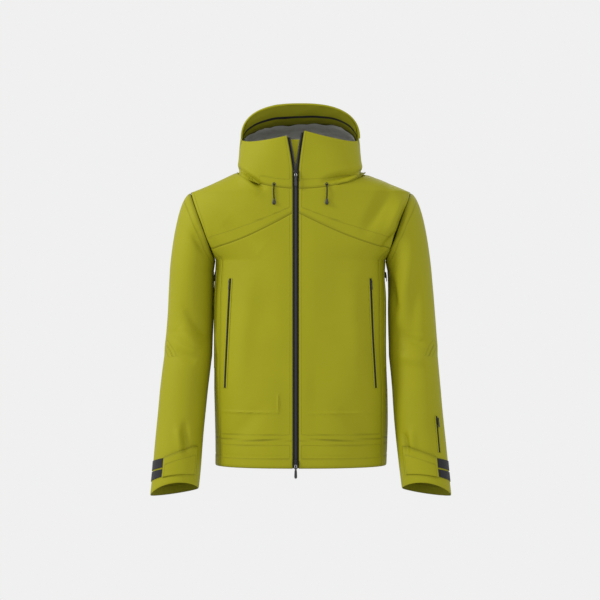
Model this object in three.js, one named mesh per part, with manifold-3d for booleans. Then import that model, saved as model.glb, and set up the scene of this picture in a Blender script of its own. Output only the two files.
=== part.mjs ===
// A hooded ski jacket, in millimetres, +Z up, the front facing -Y, +X to the wearer's left.
// The origin is at the height of the neck's side points, on the centre plane, under the hang loop.
import * as THREE from "three";
import { mergeVertices } from "three/addons/utils/BufferGeometryUtils.js";
import Module from "manifold-3d";

const wasm = await Module();
wasm.setup();

// ---------------------------------------------------------------- driving dimensions
const HEM_Z = -702; // bottom hem, below the neck's side points
const HEM_HALF = 205; // half width at the hem
const HIP_HALF = 208.5; // half width at the hip
const HIP_Z = -520;
const ARMPIT = { x: 204, z: -212 };
const TIP = { x: 265, z: -48 }; // shoulder point
const ARMHOLE_DEPTH = 84; // half depth of the armhole, front to back
const NECK_HALF = 148; // half width of the neckline, where the hood is sewn on
const NECK_FRONT_DROP = 45;
const NECK_BACK_DROP = 4;
const FRONT_DEPTH_TOP = 108; // front surface ahead of the origin at the neck
const FRONT_SLOPE = 0.0345; // how much further forward it stands for each mm down
const BACK_DEPTHS = [[HEM_Z, 118], [-450, 122], [-200, 136], [-100, 128], [-48, 112], [0, 92]];
const SQUARENESS = 2.5; // exponent of the body's cross-section
const SIDE_SEAM_Y = 62; // side panel's half width, front to back
const YOKE_FRONT_Z = -103;
const YOKE_BACK_Z = -150;

const ZIP_X = -11; // the front zip's line
const ZIP_REVEAL = 7.2; // half the width of zip that shows
const ZIP_V_Z = -7; // the zip is closed below this height
const V_OPEN = { left: 13, right: 14 };
const CHIN = { left: 92, right: 78 }; // top of the collar beside the zip

const SLEEVE_TOP_WIDTH = 105;
const SLEEVE_WIDTH = 117; // across, from the elbow to the cuff
const SLEEVE_START_Z = -238;
const CUFF_Z = -770; // outer corner of the cuff
const CUFF_RISE = 17; // inner corner above the outer one
const SLEEVE_FLARE = 0.105; // outward run for each mm down, below the hip of the body
const SLEEVE_CLEAR = 4; // between the sleeve and the side of the body
const SLEEVE_DEPTHS = [[0, 80], [0.29, 72], [0.6, 64], [1, 54]]; // half depths along the sleeve
const ELBOW_AT = 0.29; // share of the sleeve above the elbow
const FOREARM_LEAN = 0.19; // forward run of the forearm for each mm down

const HOOD_TOP = 161;
const SHELL = 3; // outer fabric with its backing
const LINING = 1.4;
const SEAM = 0.5; // clearance between two panels
const PLY = 0.5; // clearance between two flat layers
const LAYER = 0.8; // clearance between two rounded layers
const HALF_SEAMS = [SEAM / 2, SEAM / 2, SEAM / 2, SEAM / 2];
const NO_INSET = [0, 0, 0, 0];

// ---------------------------------------------------------------- small helpers
const lerp = (a, b, t) => a + (b - a) * t;
const vec = (x, y, z) => new THREE.Vector3(x, y, z);
const range = (n, from = 0, to = 1) => Array.from({ length: n + 1 }, (_, i) => lerp(from, to, i / n));
const root = (x) => Math.max(0, 1 - Math.abs(x) ** SQUARENESS) ** (1 / SQUARENESS);

/** Straight stretches through (t, value) pairs, level beyond both ends. */
function profile(points) {
  return (t) => {
    if (t <= points[0][0]) return points[0][1];
    for (let i = 1; i < points.length; i += 1) {
      const [t0, v0] = points[i - 1];
      const [t1, v1] = points[i];
      if (t <= t1) return lerp(v0, v1, (t - t0) / (t1 - t0));
    }
    return points.at(-1)[1];
  };
}

/** Outward normal of a surface at (u, v), by steps that stay inside its domain. */
function normalAt(surface, u, v, sign, wrapU) {
  const step = 2e-3;
  const du = wrapU || u < 0.5 ? step : -step;
  const dv = v < 0.5 ? step : -step;
  const here = surface(u, v);
  const alongU = surface(u + du, v).sub(here).multiplyScalar(Math.sign(du));
  const alongV = surface(u, v + dv).sub(here).multiplyScalar(Math.sign(dv));
  return alongU.cross(alongV).normalize().multiplyScalar(sign);
}

/**
 * Closed slab over surface(u, v): its outer face stands `out` off the surface and its inner face
 * lies `depth` below that. `inset` draws each edge back along the surface: [u0, u1, v0, v1].
 */
function slab(surface, us, vs, options = {}) {
  const { out = 0, depth = SHELL, sign = 1, wrap = false, inset = HALF_SEAMS } = options;
  const rows = vs.map((v) => us.map((u) => surface(u, v)));
  const normals = vs.map((v) => us.map((u) => normalAt(surface, u, v, sign, wrap)));
  const nu = us.length;
  const nv = vs.length;
  const pull = (point, towards, by) => point.add(towards.clone().sub(point).setLength(by));
  for (let j = 0; j < nv && !wrap; j += 1) {
    pull(rows[j][0], rows[j][1], inset[0]);
    pull(rows[j][nu - 1], rows[j][nu - 2], inset[1]);
  }
  for (let i = 0; i < nu; i += 1) {
    pull(rows[0][i], rows[1][i], inset[2]);
    pull(rows[nv - 1][i], rows[nv - 2][i], inset[3]);
  }
  const positions = [];
  for (const level of [out, out - depth]) {
    rows.forEach((row, j) => row.forEach((p, i) => {
      positions.push(...p.clone().addScaledVector(normals[j][i], level));
    }));
  }
  const at = (side, j, i) => side * nu * nv + j * nu + (i % nu);
  const faces = [];
  const quad = (a, b, c, d) => faces.push(a, b, c, a, c, d);
  const spans = wrap ? nu : nu - 1;
  for (let j = 0; j < nv - 1; j += 1) {
    for (let i = 0; i < spans; i += 1) {
      quad(at(0, j, i), at(0, j, i + 1), at(0, j + 1, i + 1), at(0, j + 1, i));
      quad(at(1, j, i), at(1, j + 1, i), at(1, j + 1, i + 1), at(1, j, i + 1));
    }
  }
  for (let i = 0; i < spans; i += 1) {
    quad(at(0, 0, i), at(1, 0, i), at(1, 0, i + 1), at(0, 0, i + 1));
    quad(at(0, nv - 1, i), at(0, nv - 1, i + 1), at(1, nv - 1, i + 1), at(1, nv - 1, i));
  }
  for (let j = 0; j < nv - 1 && !wrap; j += 1) {
    quad(at(0, j, 0), at(0, j + 1, 0), at(1, j + 1, 0), at(1, j, 0));
    quad(at(0, j, nu - 1), at(1, j, nu - 1), at(1, j + 1, nu - 1), at(0, j + 1, nu - 1));
  }
  const geometry = new THREE.BufferGeometry();
  geometry.setAttribute("position", new THREE.Float32BufferAttribute(positions, 3));
  geometry.setIndex(faces);
  return outward(geometry);
}

/** Signed volume decides whether the faces are turned round. */
function outward(geometry) {
  const p = geometry.attributes.position;
  const index = Array.from(geometry.index.array);
  let volume = 0;
  for (let k = 0; k < index.length; k += 3) {
    const [a, b, c] = [0, 1, 2].map((n) => new THREE.Vector3().fromBufferAttribute(p, index[k + n]));
    volume += a.dot(b.cross(c));
  }
  if (volume < 0) {
    for (let k = 0; k < index.length; k += 3) [index[k], index[k + 1]] = [index[k + 1], index[k]];
    geometry.setIndex(index);
  }
  return geometry;
}

/** A closed geometry as a solid that can be cut. */
function solid(geometry) {
  const bare = geometry.index ? geometry.clone() : geometry;
  bare.deleteAttribute("normal");
  bare.deleteAttribute("uv");
  const merged = mergeVertices(bare, 1e-4);
  return new wasm.Manifold(new wasm.Mesh({
    numProp: 3,
    vertProperties: new Float32Array(merged.attributes.position.array),
    triVerts: new Uint32Array(merged.index.array),
  }));
}

/** A solid back as a geometry. */
function geometryOf(shape) {
  const mesh = shape.getMesh();
  const geometry = new THREE.BufferGeometry();
  geometry.setAttribute("position", new THREE.Float32BufferAttribute(Array.from(mesh.vertProperties), 3));
  geometry.setIndex(Array.from(mesh.triVerts));
  return geometry;
}

const cut = (geometry, ...tools) => geometryOf(tools.reduce((s, t) => s.subtract(solid(t)), solid(geometry)));

const jacket = new THREE.Group();
const FINISHES = {
  shell: { color: 0xa1a123, roughness: 0.75 },
  black: { color: 0x141419, roughness: 0.6 },
  facing: { color: 0x464b0a, roughness: 0.8 },
  lining: { color: 0x8a8a8c, roughness: 0.85 },
  metal: { color: 0x202024, roughness: 0.4, metalness: 0.7 },
};

function add(name, geometry, finish) {
  const mesh = new THREE.Mesh(geometry, new THREE.MeshStandardMaterial(FINISHES[finish]));
  mesh.name = name;
  jacket.add(mesh);
  return mesh;
}

// ---------------------------------------------------------------- the body's surface
const frontDepth = (z) => FRONT_DEPTH_TOP + FRONT_SLOPE * (ZIP_V_Z - z);
const backDepth = profile(BACK_DEPTHS);
const armholeX = (w) => lerp(TIP.x, ARMPIT.x, w);
const armholeZ = (w) => lerp(TIP.z, ARMPIT.z, w);
const bodyHalf = profile([[HEM_Z, HEM_HALF], [HIP_Z, HIP_HALF], [-300, HIP_HALF - 2], [ARMPIT.z, ARMPIT.x]]);

/** Half width of the full cross-section that passes through the armhole at height z. */
function sectionHalf(z, depth) {
  if (z <= ARMPIT.z) return bodyHalf(z);
  if (z >= TIP.z) return lerp(TIP.x, NECK_HALF, Math.min(1, (z - TIP.z) / -TIP.z));
  const w = (z - TIP.z) / (ARMPIT.z - TIP.z);
  const y = 2 * ARMHOLE_DEPTH * Math.sqrt(Math.max(0, w - w * w));
  return armholeX(w) / root(y / depth);
}

const frontY = (x, z) => -frontDepth(z) * root(x / sectionHalf(z, frontDepth(z)));
const backY = (x, z) => backDepth(z) * root(x / sectionHalf(z, backDepth(z)));

/** X of the body's side at depth y and height z. */
function sideX(y, z) {
  const depth = y < 0 ? frontDepth(z) : backDepth(z);
  return sectionHalf(z, depth) * root(y / depth);
}

/** Height of the armhole's underside at depth y. */
const underarmZ = (y) => armholeZ((1 + Math.sqrt(Math.max(0, 1 - (y / ARMHOLE_DEPTH) ** 2))) / 2);
const JUNCTION_Z = underarmZ(SIDE_SEAM_Y);

const zipEdge = (side, z) => {
  const open = side > 0 ? V_OPEN.left : V_OPEN.right;
  const top = side > 0 ? CHIN.left : CHIN.right;
  const rise = Math.max(0, (z - ZIP_V_Z) / (top - ZIP_V_Z));
  return ZIP_X + side * (ZIP_REVEAL + open * rise ** 1.3);
};

const yokeFrontZ = (c) => YOKE_FRONT_Z + (JUNCTION_Z - YOKE_FRONT_Z) * (1 - (1 - c) ** 1.35);
const yokeBackZ = (c) => lerp(YOKE_BACK_Z, JUNCTION_Z, Math.abs(c) ** 1.6);
const NECK_AT = 0.62; // share of the yoke's top edge that is neckline
const NECK_SHARES = [0, 0.16, 0.32, 0.48, 0.65, 0.82, 1];
const COLUMNS = [...NECK_SHARES.map((c) => c * NECK_AT), 0.74, 0.84, 0.93, 1];
const BOTH_COLUMNS = [...COLUMNS.slice(1).reverse().map((c) => -c), ...COLUMNS];

/** Point of the neckline; t runs from the centre (0) to the side (pi/2). */
function neckPoint(t, back) {
  const z = -(back ? NECK_BACK_DROP : NECK_FRONT_DROP) * Math.max(0, Math.cos(t)) ** 1.15;
  const x = NECK_HALF * Math.sin(t);
  return vec(x, (back ? backY : frontY)(x, z), z);
}

const lowerFront = (side) => (c, r) => {
  const z = lerp(HEM_Z, yokeFrontZ(c), r);
  const x = lerp(side * zipEdge(side, z), sideX(-SIDE_SEAM_Y, Math.min(z, JUNCTION_Z)), c);
  return vec(side * x, frontY(x, z), z);
};

const lowerBack = (u, r) => {
  const c = 2 * u - 1;
  const z = lerp(HEM_Z, yokeBackZ(c), r);
  const x = c * sideX(SIDE_SEAM_Y, Math.min(z, JUNCTION_Z));
  return vec(x, backY(x, z), z);
};

const sidePanel = (side) => (k, r) => {
  const y = lerp(-SIDE_SEAM_Y, SIDE_SEAM_Y, k);
  const z = lerp(HEM_Z, underarmZ(y), r);
  return vec(side * sideX(y, z), y, z);
};

/** Yoke patch in x and z: seam below, armhole outside, neckline and shoulder above. */
function yokePlane(c, r, x0, z0, zLow, drop) {
  const start = Math.asin(x0 / NECK_HALF);
  const turn = lerp(start, Math.PI / 2, Math.min(1, c / NECK_AT));
  const past = Math.max(0, (c - NECK_AT) / (1 - NECK_AT));
  const neckZ = (t) => -drop * Math.max(0, Math.cos(t)) ** 1.15;
  const top = [lerp(NECK_HALF * Math.sin(turn), TIP.x, past), lerp(neckZ(turn), TIP.z, past)];
  const wJ = (JUNCTION_Z - TIP.z) / (ARMPIT.z - TIP.z);
  const w = wJ * (1 - r) ** 1.5;
  const right = [armholeX(w), armholeZ(w)];
  const low = [lerp(x0, armholeX(wJ), c), zLow];
  const left = [x0, lerp(z0, neckZ(start), r)];
  return [0, 1].map((i) => {
    const corner = (1 - c) * (1 - r) * [x0, z0][i] + c * (1 - r) * [armholeX(wJ), JUNCTION_Z][i]
      + (1 - c) * r * [x0, neckZ(start)][i] + c * r * [TIP.x, TIP.z][i];
    return (1 - r) * low[i] + r * top[i] + (1 - c) * left[i] + c * right[i] - corner;
  });
}

const frontYoke = (side) => (c, r) => {
  const x0 = side * zipEdge(side, YOKE_FRONT_Z);
  const [x, z] = yokePlane(c, r, x0, YOKE_FRONT_Z, yokeFrontZ(c), NECK_FRONT_DROP);
  return vec(side * x, frontY(x, z), z);
};

const backYoke = (u, r) => {
  const c = Math.abs(2 * u - 1);
  const [x, z] = yokePlane(c, r, 0, YOKE_BACK_Z, yokeBackZ(c), NECK_BACK_DROP);
  return vec(Math.sign(u - 0.5) * x, backY(x, z), z);
};

// ---------------------------------------------------------------- the hood's surface
// Arches over the head, from the front rim (v = 0) to the seam at the back neck (v = 1).
const ARCH = {
  half: profile([[0, NECK_HALF - 7], [0.25, NECK_HALF - 2], [0.5, NECK_HALF]]),
  baseY: profile([[0, -35], [0.25, -14], [0.5, -3], [1, 0]]),
  baseZ: profile([[0, 75], [0.25, 56], [0.5, 38], [1, 0]]),
  topY: profile([[0, -72], [0.12, -50], [0.25, -18], [0.4, 34], [0.55, 78], [0.75, 104], [1, 92]]),
  topZ: profile([
    [0, HOOD_TOP - 3], [0.12, HOOD_TOP - 1], [0.25, HOOD_TOP], [0.4, HOOD_TOP],
    [0.55, HOOD_TOP - 23], [0.75, HOOD_TOP / 2], [1, -NECK_BACK_DROP],
  ]),
};

const crown = (u, v) => {
  const a = (2 * u - 1) * (Math.PI / 2);
  const lift = Math.max(0, Math.cos(a)) ** (2 / SQUARENESS);
  const x = ARCH.half(v) * Math.sign(a) * Math.abs(Math.sin(a)) ** (2 / SQUARENESS);
  const y = lerp(ARCH.baseY(v), ARCH.topY(v), lift);
  const z = lerp(ARCH.baseZ(v), ARCH.topZ(v), lift);
  const seamX = Math.min(NECK_HALF, Math.abs(x));
  const seam = neckPoint(Math.asin(seamX / NECK_HALF), true);
  return vec(x, lerp(y, seam.y, v ** 6), lerp(z, seam.z, v ** 6));
};

/** The lining hangs slack under the crown: how far it drops in the middle. */
const SLACK = profile([[0, 0], [0.12, 25], [0.25, 42], [0.4, 46], [0.55, 30], [0.75, 0]]);
const slackCrown = (u, v) => {
  const point = crown(u, v);
  const lift = Math.max(0, Math.sin(Math.PI * u)) ** (2 / SQUARENESS);
  return point.setZ(point.z - SLACK(v) * lift);
};

const collar = (side) => (c, r) => {
  const top = side > 0 ? CHIN.left : CHIN.right;
  const x0 = side * zipEdge(side, -NECK_FRONT_DROP);
  const start = Math.asin(x0 / NECK_HALF);
  const bottom = neckPoint(lerp(start, Math.PI / 2, c), false);
  const edgeTop = vec(side * zipEdge(side, top), -frontDepth(0) - 2, top);
  const sideTop = vec(ARCH.half(0), ARCH.baseY(0), ARCH.baseZ(0));
  const middle = vec(118, -92, 62);
  const rim = edgeTop.clone().multiplyScalar((1 - c) ** 2)
    .addScaledVector(middle, 2 * c * (1 - c)).addScaledVector(sideTop, c * c);
  const zLeft = lerp(-NECK_FRONT_DROP, top, r);
  const left = vec(side * zipEdge(side, zLeft), lerp(-frontDepth(zLeft), edgeTop.y, r * r), zLeft);
  const v = 1 - r;
  const right = vec(ARCH.half(v), ARCH.baseY(v), ARCH.baseZ(v));
  const corners = neckPoint(start, false).multiplyScalar((1 - c) * (1 - r))
    .addScaledVector(vec(NECK_HALF, 0, 0), c * (1 - r))
    .addScaledVector(edgeTop, (1 - c) * r).addScaledVector(sideTop, c * r);
  const point = bottom.multiplyScalar(1 - r).addScaledVector(rim, r)
    .addScaledVector(left, 1 - c).addScaledVector(right, c).sub(corners);
  const bulge = 7 * Math.sin(Math.PI * r) * Math.sin(Math.PI * c);
  return vec(side * (point.x + bulge * 0.6), point.y - bulge, point.z);
};

// ---------------------------------------------------------------- the sleeves' surface
const cap = new THREE.CubicBezierCurve(
  new THREE.Vector2(TIP.x, TIP.z),
  new THREE.Vector2(TIP.x + 26, TIP.z - 11),
  new THREE.Vector2(TIP.x + 38, TIP.z - 92),
  new THREE.Vector2(0, 0),
);
const innerX = (z) => bodyHalf(z) + SLEEVE_CLEAR + SLEEVE_FLARE * Math.max(0, -440 - z);
const sleeveDepth = profile(SLEEVE_DEPTHS);
const CAP_SHARE = 0.2; // share of the whole sleeve's v that the rounded cap takes

/** Outer and inner edge, half depth and lean of the sleeve's section at s, 0 at the armhole. */
function sleeveSection(s) {
  const along = (t) => {
    const innerZ = lerp(SLEEVE_START_Z, CUFF_Z + CUFF_RISE, t);
    const outerZ = lerp(SLEEVE_START_Z + 8, CUFF_Z, t);
    const width = lerp(SLEEVE_TOP_WIDTH, SLEEVE_WIDTH, Math.min(1, t / 0.35));
    const inner = [innerX(innerZ), innerZ];
    return { inner, outer: [inner[0] + width, outerZ], depth: sleeveDepth(t), t };
  };
  const gap = [0.937 * SEAM, -0.349 * SEAM];
  if (s >= CAP_SHARE) return along((s - CAP_SHARE) / (1 - CAP_SHARE));
  const k = s / CAP_SHARE;
  const end = along(0);
  cap.v3.set(...end.outer);
  const outer = cap.getPoint(k);
  return {
    inner: [lerp(ARMPIT.x, end.inner[0], k) + gap[0], lerp(ARMPIT.z, end.inner[1], k) + gap[1]],
    outer: [outer.x + gap[0] * (1 - k), outer.y + gap[1] * (1 - k)],
    depth: lerp(ARMHOLE_DEPTH, end.depth, k),
    t: 0,
  };
}

/** Frame of a sleeve section: centre, half width vector, half depth vector. */
function sleeveFrame(side, s) {
  const { inner, outer, depth, t } = sleeveSection(s);
  const below = Math.max(0, t - ELBOW_AT) * (SLEEVE_START_Z - CUFF_Z);
  const lean = FOREARM_LEAN * Math.min(1, Math.max(0, (t - ELBOW_AT + 0.04) / 0.12));
  const tilt = Math.atan(lean);
  return {
    centre: vec(side * (inner[0] + outer[0]) / 2, -FOREARM_LEAN * below, (inner[1] + outer[1]) / 2),
    half: vec(side * (outer[0] - inner[0]) / 2, 0, (outer[1] - inner[1]) / 2),
    deep: vec(0, depth * Math.cos(tilt), -depth * Math.sin(tilt)),
  };
}

const sleeve = (side, from, to) => (u, v) => {
  const { centre, half, deep } = sleeveFrame(side, lerp(from, to, v));
  const a = 2 * Math.PI * u;
  return centre.addScaledVector(half, Math.cos(a)).addScaledVector(deep, Math.sin(a));
};

// ---------------------------------------------------------------- zips as straight bars
/** A bar of the given width and depth from a to b, its outer face turned to `facing`. */
function bar(a, b, facing, width, depth, out = 0, extra = 0) {
  const along = b.clone().sub(a);
  const length = along.length() + 2 * extra;
  along.normalize();
  const across = along.clone().cross(facing).normalize();
  const normal = across.clone().cross(along).normalize();
  const geometry = new THREE.BoxGeometry(width, length, depth);
  const middle = a.clone().lerp(b, 0.5).addScaledVector(normal, out - depth / 2);
  geometry.applyMatrix4(new THREE.Matrix4().makeBasis(across, along, normal).setPosition(middle));
  return geometry;
}

const ZIP_TAPE = { width: 9, depth: 3.4, proud: 0.9 };
const SLIDER = { width: 7, length: 15, depth: 4.5 };
const SLOT_CLEAR = 0.35;

/** Tape, slider and the cutter for a zip that lies in a slot of a panel. */
function setZip(name, a, b, facing) {
  const run = b.clone().sub(a).normalize();
  add(`${name}_tape`, bar(a, b, facing, ZIP_TAPE.width, ZIP_TAPE.depth, ZIP_TAPE.proud), "black");
  const top = a.clone().addScaledVector(run, 4);
  const low = top.clone().addScaledVector(run, SLIDER.length);
  const out = ZIP_TAPE.proud + SLOT_CLEAR + SLIDER.depth;
  add(`${name}_slider`, bar(top, low, facing, SLIDER.width, SLIDER.depth, out), "metal");
  return bar(a, b, facing, ZIP_TAPE.width + 2 * SLOT_CLEAR, 30, 15, SLOT_CLEAR);
}

// ---------------------------------------------------------------- body panels
const POCKET = { top: { x: 165, z: -256 }, low: { x: 178, z: -515 } };
const POCKET_BAG = { x: [66, POCKET.top.x - 5], z: [POCKET.low.z - 57, POCKET.top.z - 24] };
const VENT = { top: -236, low: -470, y: -34 };
const ROWS = range(9);
const SIDES = [["left", 1], ["right", -1]];

/** Outward normal of the front at (x, z) or of the side at (y, z), from points a little apart. */
const facingFront = (side, x, z) => {
  const patch = (u, v) => vec(side * (x + 9 * u), frontY(x + 9 * u, z - 80 * v), z - 80 * v);
  return normalAt(patch, 0, 0, -side, false);
};
const facingSide = (side, y, z) => {
  const patch = (u, v) => vec(side * sideX(y + 4 * u, z - 60 * v), y + 4 * u, z - 60 * v);
  return normalAt(patch, 0, 0, -side, false);
};

for (const [name, side] of SIDES) {
  const onFront = ({ x, z }) => vec(side * x, frontY(x, z), z);
  const a = onFront(POCKET.top);
  const b = onFront(POCKET.low);
  const middle = { x: lerp(POCKET.top.x, POCKET.low.x, 0.3), z: lerp(POCKET.top.z, POCKET.low.z, 0.35) };
  const slot = setZip(`hand_pocket_${name}`, a, b, facingFront(side, middle.x, middle.z));
  add(`front_body_${name}`, cut(slab(lowerFront(side), COLUMNS, ROWS, { sign: side }), slot), "shell");

  add(`front_yoke_${name}`, slab(frontYoke(side), COLUMNS, range(6), { sign: side }), "shell");

  const onSide = (z) => vec(side * sideX(VENT.y, z), VENT.y, z);
  const ventFacing = facingSide(side, VENT.y, lerp(VENT.top, VENT.low, 0.35));
  const ventSlot = setZip(`underarm_vent_${name}`, onSide(VENT.top), onSide(VENT.low), ventFacing);
  add(`side_panel_${name}`, cut(slab(sidePanel(side), range(6), ROWS, { sign: side }), ventSlot), "shell");

  // The pocket bag hangs behind the front body, level with the zip.
  const bag = (u, v) => {
    const x = lerp(...POCKET_BAG.x, u);
    const z = lerp(...POCKET_BAG.z, v);
    return vec(side * x, frontY(x, z), z);
  };
  const behind = { sign: side, out: -SHELL - PLY, depth: LINING };
  add(`hand_pocket_bag_${name}`, slab(bag, range(4), range(4), behind), "facing");
}
add("back_body", slab(lowerBack, BOTH_COLUMNS.map((c) => (c + 1) / 2), ROWS, { sign: -1 }), "shell");
add("back_yoke", slab(backYoke, BOTH_COLUMNS.map((c) => (c + 1) / 2), range(6), { sign: -1 }), "shell");

// ---------------------------------------------------------------- hood and collar
const BRIM_V = 0.12;
const GUSSET = 0.24; // half width of the hood's centre panel, as a share of the arch
const SIDE_ARCH = [0, 0.06, 0.12, 0.18, 0.5 - GUSSET];
const HALF_ARCH = [...SIDE_ARCH, 0.34, 0.42];
const mirrored = (list) => list.map((u) => 1 - u).reverse();
const FULL_ARCH = [...HALF_ARCH, 0.5, ...mirrored(HALF_ARCH)];
const HOOD_ROWS = [BRIM_V, 0.25, 0.4, 0.5, 0.55, 0.65, 0.75, 0.9, 1];
const between = (list, from, to) => list.filter((u) => u >= from - 1e-9 && u <= to + 1e-9);
const NECK_CLEAR = 3.4; // the hood folds back over the neck seam
const hoodPanel = { sign: 1, inset: [SEAM / 2, SEAM / 2, SEAM / 2, NECK_CLEAR] };
add("hood_brim", slab(crown, FULL_ARCH, [0, 0.055, BRIM_V], { sign: 1 }), "shell");
const CENTRE_ARCH = between(FULL_ARCH, 0.5 - GUSSET, 0.5 + GUSSET);
add("hood_centre", slab(crown, CENTRE_ARCH, HOOD_ROWS, hoodPanel), "shell");
add("hood_side_right", slab(crown, SIDE_ARCH, HOOD_ROWS, hoodPanel), "shell");
add("hood_side_left", slab(crown, mirrored(SIDE_ARCH), HOOD_ROWS, hoodPanel), "shell");
const INNER_ARCH = between(FULL_ARCH, SIDE_ARCH[1], 1 - SIDE_ARCH[1]);
const within = { sign: 1, out: -SHELL - LAYER, depth: LINING };
const FACING_END = 0.27;
const onFacing = { ...within, out: within.out - LINING - PLY };
add("hood_rim_binding", slab(slackCrown, INNER_ARCH, [0.13, 0.15], onFacing), "black");
const facingRows = [0.006, 0.055, BRIM_V, 0.18, FACING_END];
add("hood_rim_facing", slab(slackCrown, INNER_ARCH, facingRows, within), "facing");
const liningRows = [FACING_END + 0.01, ...between(HOOD_ROWS, FACING_END, 0.95)];
add("hood_lining", slab(slackCrown, INNER_ARCH, liningRows, within), "lining");
for (const [name, side] of SIDES) {
  add(`collar_${name}`, slab(collar(side), NECK_SHARES, range(6), { sign: side }), "shell");
  const inner = { ...within, sign: side, inset: NO_INSET };
  const lining = slab(collar(side), NECK_SHARES.slice(1, -1), range(6).slice(1, -1), inner);
  add(`collar_lining_${name}`, lining, "lining");
}

// ---------------------------------------------------------------- front zip
const TAPE_HIDDEN = 3; // how far the tape runs under the fabric
const ZIP_GAP = 0.25; // from the middle of the zip to each row of teeth
const TEETH_WIDTH = 2.6;
const CHIN_LEAN = 1.5; // the zip's edges draw back by this much at the chin
const frontLine = (z) => -frontDepth(z);
for (const [name, side] of SIDES) {
  const top = side > 0 ? CHIN.left : CHIN.right;
  const rows = [HEM_Z + 1, lerp(HEM_Z, ZIP_V_Z, 0.5), YOKE_FRONT_Z, ZIP_V_Z, 20, 50, top - 4];
  const strip = (x0, x1) => (u, v) => {
    const z = lerp(rows[0], rows.at(-1), v);
    const x = zipEdge(side, z) + side * lerp(x0, x1, u);
    const lean = Math.max(0, (z - ZIP_V_Z) / (top - ZIP_V_Z));
    return vec(x, frontLine(z) + CHIN_LEAN * lean, z);
  };
  const vs = rows.map((z) => (z - rows[0]) / (rows.at(-1) - rows[0]));
  const inner = -ZIP_REVEAL + ZIP_GAP;
  const tape = { sign: side, inset: NO_INSET, out: -SHELL - 0.9, depth: 1 };
  const teeth = { sign: side, inset: NO_INSET, out: -1.2, depth: SHELL - 0.6 };
  add(`front_zip_tape_${name}`, slab(strip(inner, TAPE_HIDDEN), [0, 1], vs, tape), "black");
  add(`front_zip_teeth_${name}`, slab(strip(inner, inner + TEETH_WIDTH), [0, 1], vs, teeth), "black");
}
const zipRun = vec(0, -FRONT_SLOPE, -1).normalize();
const onZip = (z) => vec(ZIP_X, frontLine(z), z);
const FRONT_SLIDER = { width: 10, length: 22, depth: 6, out: 5.2 };
const PULL = { width: 7, length: 32, depth: 2.4, gap: 0.4 };

function frontSlider(name, z) {
  const a = onZip(z);
  const facing = vec(0, -1, FRONT_SLOPE);
  const b = a.clone().addScaledVector(zipRun, FRONT_SLIDER.length);
  add(name, bar(a, b, facing, FRONT_SLIDER.width, FRONT_SLIDER.depth, FRONT_SLIDER.out), "metal");
}
function frontPull(name, z) {
  const a = onZip(z);
  const facing = vec(0, -1, FRONT_SLOPE);
  const b = a.clone().addScaledVector(zipRun, PULL.length);
  add(name, bar(a, b, facing, PULL.width, PULL.depth, FRONT_SLIDER.out + PULL.gap + PULL.depth), "metal");
}
const UPPER_SLIDER_Z = ZIP_V_Z + 6;
const LOWER_SLIDER_Z = HEM_Z + 22;
frontSlider("upper_slider", UPPER_SLIDER_Z);
frontPull("upper_pull", UPPER_SLIDER_Z - 8);
frontSlider("lower_slider", LOWER_SLIDER_Z);
frontPull("lower_pull", LOWER_SLIDER_Z - 12);

// A flap of shell fabric closes the gap behind the zip under the chin.
const CHIN_FLAP = { half: 26, low: -90, top: CHIN.right - 8 };
const flap = (u, v) => {
  const z = lerp(CHIN_FLAP.low, CHIN_FLAP.top, v);
  const x = ZIP_X + lerp(-CHIN_FLAP.half, CHIN_FLAP.half, u);
  const lean = Math.max(0, (z - ZIP_V_Z) / (CHIN.right - ZIP_V_Z));
  return vec(x, frontLine(z) + CHIN_LEAN * lean, z);
};
add("chin_flap", slab(flap, range(2), range(4), { sign: 1, out: -SHELL - 2.4, depth: LINING }), "shell");

// ---------------------------------------------------------------- drawcords of the hood
const CORD = { x: 62, z: -34, diameter: 3, length: 34 };
const TOGGLE = { x: 4, y: 3.4, z: 8, gap: 0.3 };
const onCollar = (side, z, off) => vec(side * CORD.x, frontY(CORD.x, z) - off, z);
for (const [name, side] of SIDES) {
  const start = onCollar(side, CORD.z, 2.6);
  const end = onCollar(side, CORD.z - CORD.length, 3.4);
  const path = new THREE.LineCurve3(start, end);
  const ring = new THREE.Shape().absarc(0, 0, CORD.diameter / 2, 0, 2 * Math.PI);
  const run = { steps: 4, extrudePath: path, curveSegments: 4 };
  add(`hood_cord_${name}`, new THREE.ExtrudeGeometry(ring, run), "black");
  const tip = new THREE.SphereGeometry(1, 12, 8).scale(TOGGLE.x, TOGGLE.y, TOGGLE.z);
  tip.translate(end.x, end.y - 0.5, end.z - TOGGLE.z - TOGGLE.gap);
  add(`hood_cord_toggle_${name}`, tip, "black");
}

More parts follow.
